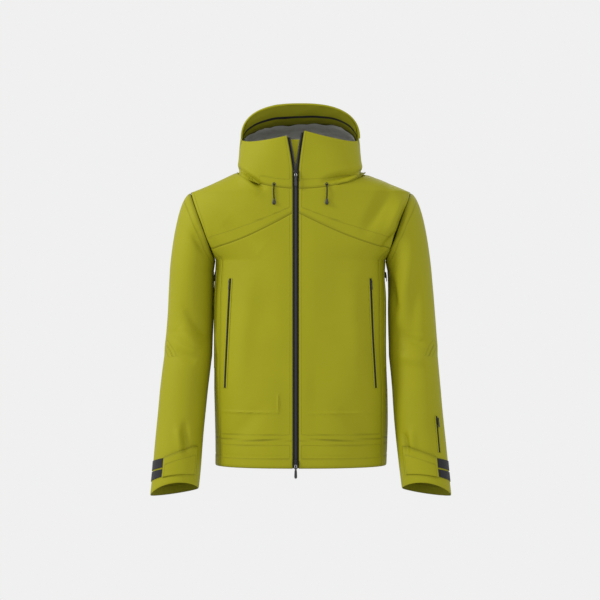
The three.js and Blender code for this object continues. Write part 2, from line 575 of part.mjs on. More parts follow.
// ---------------------------------------------------------------- sleeves
const RING = range(20).slice(0, -1);
const TAB_COLUMNS = [0.6, 0.65, 0.7, 0.75, 0.8, 0.83];
const LOOP_COLUMNS = [0.8, 0.85, 0.9, 0.95, 1, 1.05, 1.1];
const LOOP_STRIP = { thick: 1.2, upper: [0.886, 0.916], lower: [0.921, 0.953] };
const CUFF_TAB = { from: 0.862, to: LOOP_STRIP.lower[1], thick: 2.4 };
const ARM_POCKET = { u: 0.86, top: 0.5357, low: 0.7571, bag: { u: [0.84, 0.97], v: [0.5, 0.74] } };
const elbowS = lerp(CAP_SHARE, 1, ELBOW_AT);
for (const [name, side] of SIDES) {
  const tube = { sign: -side, wrap: true };
  const capRows = [...range(4, 0, CAP_SHARE), ...range(3, CAP_SHARE, elbowS).slice(1)];
  const upper = sleeve(side, 0, elbowS);
  const upperTube = { ...tube, inset: [0, 0, 0, SEAM / 2] };
  add(`upper_sleeve_${name}`, slab(upper, RING, capRows.map((s) => s / elbowS), upperTube), "shell");

  const lower = sleeve(side, elbowS, 1);
  let forearm = slab(lower, RING, range(8), { ...tube, inset: [0, 0, SEAM / 2, 0] });
  if (side > 0) {
    const top = lower(ARM_POCKET.u, ARM_POCKET.top);
    const low = lower(ARM_POCKET.u, ARM_POCKET.low);
    const facing = normalAt(lower, ARM_POCKET.u, 0.5, -side, true);
    forearm = cut(forearm, setZip("forearm_pocket", top, low, facing));
    const behind = { sign: -side, out: -SHELL - 1.2, depth: LINING };
    const bag = slab(lower, range(3, ...ARM_POCKET.bag.u), range(2, ...ARM_POCKET.bag.v), behind);
    add("forearm_pocket_bag", bag, "facing");
  }
  add(`forearm_${name}`, forearm, "shell");
  const strap = sleeve(side, 0, 1);
  const pile = { sign: -side, out: PLY + LOOP_STRIP.thick, depth: LOOP_STRIP.thick };
  for (const level of ["upper", "lower"]) {
    add(`loop_strip_${level}_${name}`, slab(strap, LOOP_COLUMNS, LOOP_STRIP[level], pile), "black");
  }
  const tabOut = 2 * PLY + LOOP_STRIP.thick + 0.2 + CUFF_TAB.thick;
  const tab = { sign: -side, out: tabOut, depth: CUFF_TAB.thick };
  add(`cuff_tab_${name}`, slab(strap, TAB_COLUMNS, range(2, CUFF_TAB.from, CUFF_TAB.to), tab), "shell");
}

// ---------------------------------------------------------------- inside
const SKIRT = { low: HEM_Z + 92, top: HEM_Z + 142, gap: 3.2 };
const skirt = (u, v) => {
  const a = 2 * Math.PI * u;
  const z = lerp(SKIRT.low, SKIRT.top, v);
  const grow = (n) => Math.sign(n) * Math.abs(n) ** (2 / SQUARENESS);
  const y = grow(-Math.cos(a)) * (Math.cos(a) > 0 ? frontDepth(z) : backDepth(z));
  return vec(bodyHalf(z) * grow(Math.sin(a)), y, z);
};
const inside = { sign: 1, wrap: true, out: -SHELL - SKIRT.gap, depth: LINING };
add("snow_skirt", slab(skirt, range(32).slice(0, -1), [0, 1], inside), "facing");

const LOOP = { width: 60, height: 16, bar: 4, thick: 1.5 };
const loop = new THREE.Shape().moveTo(-LOOP.width / 2, 0).lineTo(LOOP.width / 2, 0)
  .lineTo(LOOP.width / 2, LOOP.height).lineTo(-LOOP.width / 2, LOOP.height).closePath();
loop.holes.push(new THREE.Path().moveTo(-LOOP.width / 2 + LOOP.bar, LOOP.bar)
  .lineTo(-LOOP.width / 2 + LOOP.bar, LOOP.height - LOOP.bar)
  .lineTo(LOOP.width / 2 - LOOP.bar, LOOP.height - LOOP.bar)
  .lineTo(LOOP.width / 2 - LOOP.bar, LOOP.bar).closePath());
const hang = new THREE.ExtrudeGeometry(loop, { depth: LOOP.thick, bevelEnabled: false });
hang.rotateX(Math.PI / 2).translate(0, backDepth(0) - SHELL + PLY, -LOOP.height);
add("hang_loop", hang, "black");

export default jacket;
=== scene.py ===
"""Ski shell jacket: fabric panels, hood, zips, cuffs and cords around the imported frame.

Lengths inside this file are millimetres until a mesh is made; +Z is up and the front faces -Y.
"""

import logging
from collections.abc import Callable, Sequence
from dataclasses import dataclass
from enum import Enum

import bpy
import numpy as np
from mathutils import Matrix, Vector

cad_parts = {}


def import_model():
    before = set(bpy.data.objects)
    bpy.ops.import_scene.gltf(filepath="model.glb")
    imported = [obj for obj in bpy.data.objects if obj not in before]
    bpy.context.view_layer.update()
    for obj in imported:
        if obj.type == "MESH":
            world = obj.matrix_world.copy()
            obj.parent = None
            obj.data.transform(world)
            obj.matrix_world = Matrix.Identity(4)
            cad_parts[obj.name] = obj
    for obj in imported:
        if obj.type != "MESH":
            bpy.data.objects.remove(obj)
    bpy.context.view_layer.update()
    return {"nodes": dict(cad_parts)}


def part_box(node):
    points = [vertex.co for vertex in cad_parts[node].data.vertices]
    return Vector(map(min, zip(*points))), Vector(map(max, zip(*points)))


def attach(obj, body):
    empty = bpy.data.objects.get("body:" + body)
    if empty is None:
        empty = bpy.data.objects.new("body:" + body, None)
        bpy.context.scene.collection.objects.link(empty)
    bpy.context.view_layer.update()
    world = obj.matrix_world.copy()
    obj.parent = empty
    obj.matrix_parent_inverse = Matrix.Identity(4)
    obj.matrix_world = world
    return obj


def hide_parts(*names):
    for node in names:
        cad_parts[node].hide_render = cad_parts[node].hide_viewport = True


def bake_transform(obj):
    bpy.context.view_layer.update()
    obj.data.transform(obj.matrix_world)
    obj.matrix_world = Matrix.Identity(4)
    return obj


LOG = logging.getLogger("jacket")
MM = 0.001
Array = np.ndarray
Surface = Callable[[Array, Array], Array]
SIDES = (("left", 1), ("right", -1))


class Finish(Enum):
    """Slots of the record's materials that pieces take their finish from."""

    SHELL = "shell_fabric"
    FACING = "dark_facing"
    LINING = "grey_lining"
    TRIM = "black_trim"
    ZIP = "zip_black"
    PILE = "hook_and_loop"
    PLASTIC = "toggle_plastic"
    METAL = "zip_metal"

    @property
    def look(self) -> str:
        """The name of the Blender material that shows this finish."""
        return f"{self.value}_look"


def lerp(a: Array | float, b: Array | float, t: Array | float) -> Array | float:
    """Straight blend from a to b."""
    return a + (b - a) * t


def stack(x: Array, y: Array, z: Array) -> Array:
    """Points from three coordinate arrays."""
    return np.stack(np.broadcast_arrays(x, y, z), axis=-1).astype(float)


def smooth(t: Array) -> Array:
    """Smoothstep of t held between 0 and 1."""
    t = np.clip(t, 0, 1)
    return t * t * (3 - 2 * t)


def curve_through(points: Sequence[tuple[float, float]]) -> Callable[[Array], Array]:
    """Smooth function through (t, value) pairs.

    Args:
        points: Pairs in rising order of t.

    Returns:
        A function that follows a cubic Hermite curve whose slopes are the means of its neighbours'.
    """
    ts, vs = (np.array(column, float) for column in zip(*points))
    slopes = np.gradient(vs, ts)

    def value(t: Array) -> Array:
        t = np.clip(np.asarray(t, float), ts[0], ts[-1])
        i = np.clip(np.searchsorted(ts, t) - 1, 0, len(ts) - 2)
        h = ts[i + 1] - ts[i]
        k = (t - ts[i]) / h
        return (
            (2 * k**3 - 3 * k**2 + 1) * vs[i] + (k**3 - 2 * k**2 + k) * h * slopes[i]
            + (3 * k**2 - 2 * k**3) * vs[i + 1] + (k**3 - k**2) * h * slopes[i + 1]
        )

    return value


@dataclass(frozen=True)
class JacketForm:
    """The worn shape of the body, as cross-sections that are superellipses."""

    hem_z: float = -702
    hem_half: float = 205
    hip_half: float = 208.5
    hip_z: float = -520
    armpit: tuple[float, float] = (204, -212)
    tip: tuple[float, float] = (265, -48)
    armhole_depth: float = 84
    neck_half: float = 148
    neck_drop: float = 45
    nape_drop: float = 4
    square: float = 2.5
    seam_y: float = 62
    yoke_z: float = -103
    back_yoke_z: float = -150
    zip_x: float = -11
    zip_reveal: float = 7.2
    zip_v_z: float = -7
    chin: tuple[float, float] = (92, 80)
    v_open: tuple[float, float] = (13, 14)

    def root(self, x: Array) -> Array:
        """Height of the unit superellipse above x."""
        return np.maximum(0, 1 - np.abs(x) ** self.square) ** (1 / self.square)

    def front_depth(self, z: Array) -> Array:
        """The zip's line is straight and leans forward towards the hem."""
        return 108 + 0.0345 * (self.zip_v_z - z)

    def back_depth(self, z: Array) -> Array:
        """Depth of the back, fullest over the shoulder blades."""
        knots = ((-702, 118), (-450, 122), (-200, 136), (-100, 128), (-48, 112), (0, 92))
        return curve_through(knots)(z)

    def section_half(self, z: Array, depth: Array) -> Array:
        """Half width of the whole cross-section at z, which passes through the armhole."""
        (ax, az), (tx, tz) = self.armpit, self.tip
        low = np.interp(z, (self.hem_z, self.hip_z, -300, az), (self.hem_half, self.hip_half, 206.5, ax))
        w = np.clip((z - tz) / (az - tz), 0, 1)
        y = 2 * self.armhole_depth * np.sqrt(np.maximum(0, w - w * w))
        middle = lerp(tx, ax, w) / np.maximum(self.root(y / depth), 1e-3)
        high = lerp(tx, self.neck_half, np.clip((z - tz) / -tz, 0, 1))
        return np.where(z <= az, low, np.where(z >= tz, high, middle))

    def front_y(self, x: Array, z: Array) -> Array:
        """Front surface over x and z."""
        depth = self.front_depth(z)
        return -depth * self.root(x / self.section_half(z, depth))

    def back_y(self, x: Array, z: Array) -> Array:
        """Back surface over x and z."""
        depth = self.back_depth(z)
        return depth * self.root(x / self.section_half(z, depth))

    def side_x(self, y: Array, z: Array) -> Array:
        """Side of the body at depth y and height z."""
        depth = np.where(y < 0, self.front_depth(z), self.back_depth(z))
        return self.section_half(z, depth) * self.root(y / depth)

    def underarm_z(self, y: Array) -> Array:
        """Underside of the armhole at depth y."""
        w = (1 + np.sqrt(np.maximum(0, 1 - (y / self.armhole_depth) ** 2))) / 2
        return lerp(self.tip[1], self.armpit[1], w)

    @property
    def junction_z(self) -> float:
        """Height where yoke, side panel and sleeve meet."""
        return float(self.underarm_z(np.array(self.seam_y)))

    def zip_edge(self, side: int, z: Array) -> Array:
        """X of the fabric's edge beside the zip, which opens in a V above the slider."""
        k = 0 if side > 0 else 1
        rise = np.maximum(0, (z - self.zip_v_z) / (self.chin[k] - self.zip_v_z))
        return self.zip_x + side * (self.zip_reveal + self.v_open[k] * rise**1.3)

    def neck(self, t: Array, back: bool) -> Array:
        """Neckline from the centre (t = 0) to the side (t = pi / 2)."""
        drop = self.nape_drop if back else self.neck_drop
        z = -drop * np.maximum(0, np.cos(t)) ** 1.15
        x = self.neck_half * np.sin(t)
        return stack(x, (self.back_y if back else self.front_y)(x, z), z)


FORM = JacketForm()


@dataclass(frozen=True)
class Fold:
    """A fold of the cloth seen from the front, from (x, z) to (x, z); a negative rise is a crease."""

    start: tuple[float, float]
    end: tuple[float, float]
    width: float
    rise: float
    behind: bool = False

    def lift(self, points: Array) -> Array:
        """Height of the fold at each point: a bell across its line that fades at both ends."""
        a, b = np.array(self.start), np.array(self.end)
        p = points[..., [0, 2]]
        run = b - a
        t = np.clip(((p - a) @ run) / (run @ run), 0, 1)
        gap = np.linalg.norm(p - (a + t[..., None] * run), axis=-1)
        fade = np.sin(np.pi * np.clip(t * 0.92 + 0.04, 0, 1)) ** 0.6
        ahead = smooth((25 - points[..., 1]) / 50)
        faces = 1 - ahead if self.behind else ahead
        return self.rise * fade * np.exp(-((gap / self.width) ** 2)) * faces


def cloth_swell(points: Array) -> Array:
    """Slow uneven swell of hanging cloth, as a sum of slanted waves that die out beside the zip."""
    x, y, z = points[..., 0], points[..., 1], points[..., 2]
    waves = (
        2.1 * np.sin(x / 47 + z / 173 + 0.7) * np.sin(z / 119 + x / 240)
        + 1.1 * np.sin(x / 27 - z / 97 + y / 80) + 0.6 * np.sin(z / 41 + x / 57 + y / 63)
    )
    beside_zip = np.clip((np.abs(x - FORM.zip_x) - 12) / 40, 0, 1)
    return waves * np.where(y < 0, smooth(beside_zip), 1)


# ---------------------------------------------------------------- surfaces of the body
SEAM_CURVE = 1.35
NECK_AT = 0.62


def front_seam(c: Array) -> Array:
    """Height of the front yoke's seam, from the zip (0) to the armhole (1)."""
    return FORM.yoke_z + (FORM.junction_z - FORM.yoke_z) * (1 - (1 - c) ** SEAM_CURVE)


def back_seam(c: Array) -> Array:
    """Height of the back yoke's seam, from the centre (0) to the armhole (1)."""
    return lerp(FORM.back_yoke_z, FORM.junction_z, np.abs(c) ** 1.6)


def lower_front(side: int) -> Surface:
    """Front panel between the zip, the side seam, the hem and the yoke."""

    def surface(c: Array, r: Array) -> Array:
        z = lerp(FORM.hem_z, front_seam(c), r)
        outer = FORM.side_x(-FORM.seam_y, np.minimum(z, FORM.junction_z))
        x = side * lerp(side * FORM.zip_edge(side, z), outer, c)
        return stack(x, FORM.front_y(x, z), z)

    return surface


def lower_back(u: Array, r: Array) -> Array:
    """Back panel from side seam to side seam."""
    c = 2 * u - 1
    z = lerp(FORM.hem_z, back_seam(c), r)
    x = c * FORM.side_x(FORM.seam_y, np.minimum(z, FORM.junction_z))
    return stack(x, FORM.back_y(x, z), z)


def side_panel(side: int) -> Surface:
    """Panel under the arm."""

    def surface(k: Array, r: Array) -> Array:
        y = lerp(-FORM.seam_y, FORM.seam_y, k)
        z = lerp(FORM.hem_z, FORM.underarm_z(y), r)
        return stack(side * FORM.side_x(y, z), y, z)

    return surface


def yoke_plane(c: Array, r: Array, x0: float, z0: float, low_z: Array, drop: float) -> tuple[Array, Array]:
    """X and z of a yoke, filled in between its seam, armhole, neckline and shoulder.

    Args:
        c: Share of the way from the centre to the armhole.
        r: Share of the way up from the seam.
        x0: X of the edge at the centre.
        z0: Height of the seam at the centre.
        low_z: Height of the seam at c.
        drop: Drop of the neckline at the centre.

    Returns:
        The x and z of each point, before the body's side is chosen.
    """
    (ax, az), (tx, tz) = FORM.armpit, FORM.tip
    start = np.arcsin(x0 / FORM.neck_half)
    turn = lerp(start, np.pi / 2, np.minimum(1, c / NECK_AT))
    past = np.maximum(0, (c - NECK_AT) / (1 - NECK_AT))
    junction = (FORM.junction_z - tz) / (az - tz)
    w = junction * (1 - r) ** 1.5

    def neck_z(t: Array) -> Array:
        return -drop * np.maximum(0, np.cos(t)) ** 1.15

    top = (lerp(FORM.neck_half * np.sin(turn), tx, past), lerp(neck_z(turn), tz, past))
    right = (lerp(tx, ax, w), lerp(tz, az, w))
    low = (lerp(x0, lerp(tx, ax, junction), c), low_z)
    left = (x0 + 0 * r, lerp(z0, neck_z(start), r))
    corners = (
        ((x0, z0), (lerp(tx, ax, junction), FORM.junction_z)),
        ((x0, float(neck_z(start))), (tx, tz)),
    )

    def blend(i: int) -> Array:
        corner = (
            (1 - c) * (1 - r) * corners[0][0][i] + c * (1 - r) * corners[0][1][i]
            + (1 - c) * r * corners[1][0][i] + c * r * corners[1][1][i]
        )
        return (1 - r) * low[i] + r * top[i] + (1 - c) * left[i] + c * right[i] - corner

    return blend(0), blend(1)


def front_yoke(side: int) -> Surface:
    """Yoke over one side of the chest."""

    def surface(c: Array, r: Array) -> Array:
        x0 = side * float(FORM.zip_edge(side, FORM.yoke_z))
        x, z = yoke_plane(c, r, x0, FORM.yoke_z, front_seam(c), FORM.neck_drop)
        return stack(side * x, FORM.front_y(x, z), z)

    return surface


def back_yoke(u: Array, r: Array) -> Array:
    """Yoke over both shoulder blades."""
    c = np.abs(2 * u - 1)
    x, z = yoke_plane(c, r, 0, FORM.back_yoke_z, back_seam(c), FORM.nape_drop)
    return stack(np.sign(u - 0.5) * x, FORM.back_y(x, z), z)


# ---------------------------------------------------------------- surfaces of the hood
HOOD_HALF = curve_through(((0, 141), (0.25, 146), (0.5, 148), (1, 148)))
HOOD_BASE_Y = curve_through(((0, -35), (0.25, -14), (0.5, -3), (1, 0)))
HOOD_BASE_Z = curve_through(((0, 75), (0.25, 56), (0.5, 38), (1, 0)))
HOOD_TOP_Y = curve_through(((0, -72), (0.12, -50), (0.25, -18), (0.4, 34), (0.55, 78), (0.75, 104), (1, 92)))
HOOD_TOP_Z = curve_through(
    ((0, 158), (0.12, 160.5), (0.25, 161), (0.4, 160), (0.55, 140), (0.75, 80), (1, -4))
)
SLACK = curve_through(((0, 0), (0.12, 27), (0.25, 42), (0.4, 46), (0.55, 30), (0.75, 4), (1, 0)))


def crown(u: Array, v: Array) -> Array:
    """Hood as arches over the head, from the rim (v = 0) back to the seam at the nape (v = 1)."""
    a = (2 * u - 1) * (np.pi / 2)
    lift = np.maximum(0, np.cos(a)) ** (2 / FORM.square)
    x = HOOD_HALF(v) * np.sign(a) * np.abs(np.sin(a)) ** (2 / FORM.square)
    y = lerp(HOOD_BASE_Y(v), HOOD_TOP_Y(v), lift)
    z = lerp(HOOD_BASE_Z(v), HOOD_TOP_Z(v), lift)
    seam = FORM.neck(np.arcsin(np.minimum(1, np.abs(x) / FORM.neck_half)), True)
    return stack(x, lerp(y, seam[..., 1], v**6), lerp(z, seam[..., 2], v**6))


def slack_crown(u: Array, v: Array) -> Array:
    """Lining that hangs slack under the crown, most of all over the middle."""
    points = crown(u, v)
    lift = np.maximum(0, np.sin(np.pi * u)) ** (2 / FORM.square)
    skew = 1 + 0.1 * np.sin(2 * np.pi * u)
    points[..., 2] -= SLACK(v) * lift * skew
    return points


def collar(side: int) -> Surface:
    """Front of the collar, from the neckline up to the chin and out to the hood's rim."""
    top = FORM.chin[0 if side > 0 else 1]
    start = float(np.arcsin(side * FORM.zip_edge(side, -FORM.neck_drop) / FORM.neck_half))
    edge_top = np.array((side * float(FORM.zip_edge(side, top)), -float(FORM.front_depth(0)) - 2, top))
    side_top = np.array((HOOD_HALF(0), HOOD_BASE_Y(0), HOOD_BASE_Z(0)), float)
    dip = np.array((118, -92, 62))
    corner = FORM.neck(np.array(start), False)

    def surface(c: Array, r: Array) -> Array:
        c1, r1 = c[..., None], r[..., None]
        bottom = FORM.neck(lerp(start, np.pi / 2, c), False)
        rim = edge_top * (1 - c1) ** 2 + dip * 2 * c1 * (1 - c1) + side_top * c1**2
        z = lerp(-FORM.neck_drop, top, r)
        left = stack(side * FORM.zip_edge(side, z), lerp(-FORM.front_depth(z), edge_top[1], r * r), z)
        v = 1 - r
        right = stack(HOOD_HALF(v), HOOD_BASE_Y(v), HOOD_BASE_Z(v))
        corners = (
            corner * (1 - c1) * (1 - r1) + np.array((FORM.neck_half, 0, 0)) * c1 * (1 - r1)
            + edge_top * (1 - c1) * r1 + side_top * c1 * r1
        )
        point = bottom * (1 - r1) + rim * r1 + left * (1 - c1) + right * c1 - corners
        bulge = 7 * np.sin(np.pi * r) * np.sin(np.pi * c)
        overhang = 5 * np.exp(-(((r - 0.16) / 0.13) ** 2)) * smooth((c - 0.3) / 0.4)
        sag = 4 * np.exp(-(((r - 0.1) / 0.12) ** 2)) * smooth((c - 0.3) / 0.4) * (r > 0)
        x = side * (point[..., 0] + bulge * 0.6 + overhang * 0.5)
        return stack(x, point[..., 1] - bulge - overhang, point[..., 2] - sag)

    return surface


# ---------------------------------------------------------------- surfaces of the sleeves
@dataclass(frozen=True)
class SleeveForm:
    """A sleeve as ellipses around an arm that hangs close to the body, the forearm bent forward."""

    top_width: float = 105
    width: float = 117
    start_z: float = -238
    cuff_z: float = -770
    cuff_rise: float = 17
    flare: float = 0.105
    clear: float = 4
    cap_share: float = 0.2
    elbow: float = 0.29
    lean: float = 0.19
    seam: float = 0.5

    def inner_x(self, z: Array) -> Array:
        """Inner edge, just clear of the body's side."""
        half = np.interp(z, (-702, -520, -300, -212), (205, 208.5, 206.5, 204))
        return half + self.clear + self.flare * np.maximum(0, -440 - z)

    def along(self, t: Array) -> tuple[Array, Array, Array]:
        """Inner edge, outer edge and half depth below the cap."""
        inner_z = lerp(self.start_z, self.cuff_z + self.cuff_rise, t)
        outer_z = lerp(self.start_z + 8, self.cuff_z, t)
        width = lerp(self.top_width, self.width, np.minimum(1, t / 0.35))
        inner = np.stack((self.inner_x(inner_z), inner_z), -1)
        outer = np.stack((inner[..., 0] + width, outer_z), -1)
        return inner, outer, curve_through(((0, 80), (0.29, 72), (0.6, 64), (1, 54)))(t)

    def section(self, s: Array) -> tuple[Array, Array, Array, Array]:
        """Inner edge, outer edge, half depth and share below the cap, at s from the armhole."""
        t = np.clip((s - self.cap_share) / (1 - self.cap_share), 0, 1)
        inner, outer, depth = self.along(t)
        k = np.clip(s / self.cap_share, 0, 1)
        ends = self.along(np.zeros_like(s))
        tip, armpit = np.array(FORM.tip), np.array(FORM.armpit)
        gap = self.seam * np.array((0.937, -0.349))
        k1 = k[..., None]
        bezier = (
            tip * (1 - k1) ** 3 + (tip + (26, -11)) * 3 * k1 * (1 - k1) ** 2
            + (tip + (38, -92)) * 3 * k1**2 * (1 - k1) + ends[1] * k1**3
        )
        in_cap = (s < self.cap_share)[..., None]
        inner = np.where(in_cap, lerp(armpit, ends[0], k1) + gap, inner)
        outer = np.where(in_cap, bezier + gap * (1 - k1), outer)
        depth = np.where(s < self.cap_share, lerp(FORM.armhole_depth, ends[2], smooth(k)), depth)
        return inner, outer, depth, t

    def surface(self, side: int) -> Surface:
        """Points of the whole sleeve: u is 0 outside, 0.25 behind, 0.5 inside and 0.75 in front."""

        def point(u: Array, s: Array) -> Array:
            inner, outer, depth, t = self.section(s)
            below = np.maximum(0, t - self.elbow) * (self.start_z - self.cuff_z)
            tilt = np.arctan(self.lean * smooth((t - self.elbow + 0.06) / 0.16))
            a = 2 * np.pi * u
            cos, sin = np.cos(a), np.sin(a)
            middle, half = (inner + outer) / 2, (outer - inner) / 2
            x = side * (middle[..., 0] + half[..., 0] * cos)
            y = -self.lean * below + depth * np.cos(tilt) * sin
            z = middle[..., 1] + half[..., 1] * cos - depth * np.sin(tilt) * sin
            arched = 15 * smooth((s - 0.93) / 0.07) * np.maximum(0, -sin) ** 1.5
            return stack(x, y, z + arched)

        return point


SLEEVE = SleeveForm()


# ---------------------------------------------------------------- folds, seen from the front
FOLDS = (
    Fold((-152, 8), (-88, -42), 7, -4.0),
    Fold((152, 0), (58, -26), 8, -4.0),
    Fold((-140, -18), (-96, -58), 10, 2.0),
    Fold((-244, -134), (-205, -203), 9, -1.6),
    Fold((-258, -150), (-226, -196), 8, -2.0),
    Fold((-232, -140), (-192, -210), 12, 2.2),
    Fold((212, -46), (156, -142), 16, -3.0),
    Fold((251, -80), (229, -146), 8, -3.2),
    Fold((229, -146), (195, -186), 8, -3.0),
    Fold((240, -70), (205, -150), 12, 2.4),
    Fold((258, -190), (234, -379), 15, 2.6),
    Fold((207, -240), (234, -338), 11, -2.4),
    Fold((276, -240), (266, -400), 14, -1.8),
    Fold((-290, -608), (-281, -668), 9, 2.4),
    Fold((-272, -596), (-270, -662), 8, -2.2),
    Fold((247, -624), (256, -670), 5, -3.0),
    Fold((262, -612), (266, -664), 9, 2.2),
    Fold((-276, -330), (-224, -392), 12, -2.4),
    Fold((-290, -372), (-238, -424), 14, 2.2),
    Fold((-300, -430), (-244, -452), 12, -1.8),
    Fold((238, -392), (300, -414), 12, -2.2),
    Fold((232, -440), (300, -452), 14, 2.0),
    Fold((-180, -120), (-95, -190), 22, -2.0),
    Fold((-120, -260), (-150, -520), 24, 1.8),
    Fold((120, -240), (145, -500), 26, 1.8),
    Fold((90, -560), (180, -640), 20, -1.6),
    Fold((-90, -560), (-180, -650), 20, -1.4),
    Fold((-185, -571), (-52, -571), 2.2, 0.9),
    Fold((-52, -571), (-52, -526), 2.2, 0.9),
    Fold((20, -573), (190, -573), 2.2, 0.7),
    Fold((-150, -120), (-60, -400), 30, -1.8, True),
    Fold((150, -120), (60, -400), 30, -1.8, True),
    Fold((-170, -250), (170, -330), 26, 2.4, True),
    Fold((-160, -480), (150, -560), 28, -2.0, True),
)
FOLD_GAIN = 3.0
SEAMS = (
    ((316, -382), (278, -413), (240, -427)),
    ((-316, -382), (-278, -413), (-240, -427)),
    ((-212, -674), (212, -674)),
)


def crumpled(points: Array) -> Array:
    """Sharp small creases of a stiff thin lining, between -1 and 1."""
    x, y, z = points[..., 0], points[..., 1], points[..., 2]
    ridges = (
        np.abs(np.sin(x / 15 + z / 21 + 0.6 * np.sin(y / 17)))
        + np.abs(np.sin(x / 24 - z / 13 + y / 19 + 1.1)) + 0.6 * np.abs(np.sin(y / 9 + x / 31))
    )
    return ridges - 1.6


def drape(points: Array, normals: Array, share: float = 1.0) -> Array:
    """Points moved along their normals by the swell and the folds of the cloth."""
    rise = cloth_swell(points) + FOLD_GAIN * sum(fold.lift(points) for fold in FOLDS)
    return points + normals * (rise * share)[..., None]


# ---------------------------------------------------------------- cloth as closed slabs
@dataclass(frozen=True)
class Bend:
    """A piece that bends between two bodies, from start to end, in millimetres."""

    a: str
    b: str
    start: tuple[float, float, float]
    end: tuple[float, float, float]


@dataclass(frozen=True)
class Panel:
    """One cut of cloth: its surface, its mesh, its edges and what it moves with."""

    name: str
    surface: Surface
    sign: int
    size: tuple[int, int]
    finish: Finish
    replaces: tuple[str, ...]
    body: str | Bend
    u: tuple[float, float] = (0, 1)
    v: tuple[float, float] = (0, 1)
    out: float = 0.0
    depth: float = 1.2
    dome: float = 0.0
    roll: float = 0.8
    wrap: bool = False
    draped: float = 1.0
    crumple: float = 0.0
    seams: tuple[int, int, int, int] = (1, 1, 1, 1)
    held: str = "hung"
    inside: Finish | None = None
    rests_on: tuple[str, ...] = ()


NARROWEST_SHEET = 0.01


def edge_lines(count: int, closed: bool) -> Array:
    """Shares along a panel: even steps, with three more lines close to each open edge."""
    if closed:
        return np.linspace(0, 1, count + 1)[:-1]
    inner = np.linspace(0, 1, count)
    if count < 12:
        return inner
    near = inner[1] * np.array((0.18, 0.42, 0.7))
    return np.sort(np.concatenate((inner, near, 1 - near)))


def grid_normals(points: Array, wrap: bool) -> Array:
    """Unit normals of a grid of points, rows first."""
    if wrap:
        along_u = np.roll(points, -1, axis=1) - np.roll(points, 1, axis=1)
    else:
        along_u = np.gradient(points, axis=1)
    cross = np.cross(along_u, np.gradient(points, axis=0))
    return cross / np.maximum(np.linalg.norm(cross, axis=-1, keepdims=True), 1e-9)


def arc(points: Array, axis: int) -> Array:
    """Running length of a grid's lines along an axis, as wide as the grid."""
    steps = np.linalg.norm(np.diff(points, axis=axis), axis=-1)
    pad = [(0, 0), (0, 0)]
    pad[axis] = (1, 0)
    return np.cumsum(np.pad(steps, pad), axis=axis)


def seam_distance(points: Array, panel: Panel) -> Array:
    """Distance from each point to the nearest sewn edge or seam line, at most 60 mm."""
    along_u, along_v = arc(points, 1), arc(points, 0)
    gaps = [np.full(points.shape[:2], 60.0)]
    edges = (along_u, along_u[:, -1:] - along_u, along_v, along_v[-1:] - along_v)
    gaps += [np.broadcast_to(gap, points.shape[:2]) for gap, sewn in zip(edges, panel.seams) if sewn]
    flat = points[..., [0, 2]]
    for line in SEAMS:
        for a, b in zip(line[:-1], line[1:]):
            start, run = np.array(a, float), np.subtract(b, a).astype(float)
            t = np.clip(((flat - start) @ run) / (run @ run), 0, 1)
            gap = np.linalg.norm(flat - (start + t[..., None] * run), axis=-1)
            gaps.append(np.where(points[..., 1] < 10, gap, 60.0))
    return np.min(gaps, axis=0)


def slab_faces(rows: int, columns: int, wrap: bool) -> tuple[Array, Array]:
    """Quads of a closed slab whose outer grid comes first, and how many belong to its outside.

    Args:
        rows: Rows of the grid.
        columns: Columns of the grid.
        wrap: True if the last column joins the first.

    Returns:
        The corner indices of each quad, and a mask of the quads on the inner face.
    """
    spans = columns if wrap else columns - 1
    i, j = np.meshgrid(np.arange(spans), np.arange(rows - 1))
    i, j = i.ravel(), j.ravel()
    k = (i + 1) % columns
    outer = np.stack((j * columns + i, j * columns + k, (j + 1) * columns + k, (j + 1) * columns + i), -1)
    shift = rows * columns
    inner = outer[:, ::-1] + shift
    parts = [outer, inner]
    i = np.arange(spans)
    k = (i + 1) % columns
    last = (rows - 1) * columns
    parts.append(np.stack((k, i, i + shift, k + shift), -1))
    parts.append(np.stack((last + i, last + k, last + k + shift, last + i + shift), -1))
    if not wrap:
        j = np.arange(rows - 1) * columns
        end = j + columns - 1
        parts.append(np.stack((j, j + columns, j + columns + shift, j + shift), -1))
        parts.append(np.stack((end + columns, end, end + shift, end + columns + shift), -1))
    faces = np.concatenate(parts)
    inside = np.zeros(len(faces), bool)
    inside[len(outer):2 * len(outer)] = True
    return faces, inside


def signed_volume(points: Array, faces: Array) -> float:
    """Volume of a closed mesh of quads; negative if its faces look inwards."""
    a, b, c, d = (points[faces[:, n]] for n in range(4))
    return float(np.sum(a * np.cross(b, c)) + np.sum(a * np.cross(c, d)))


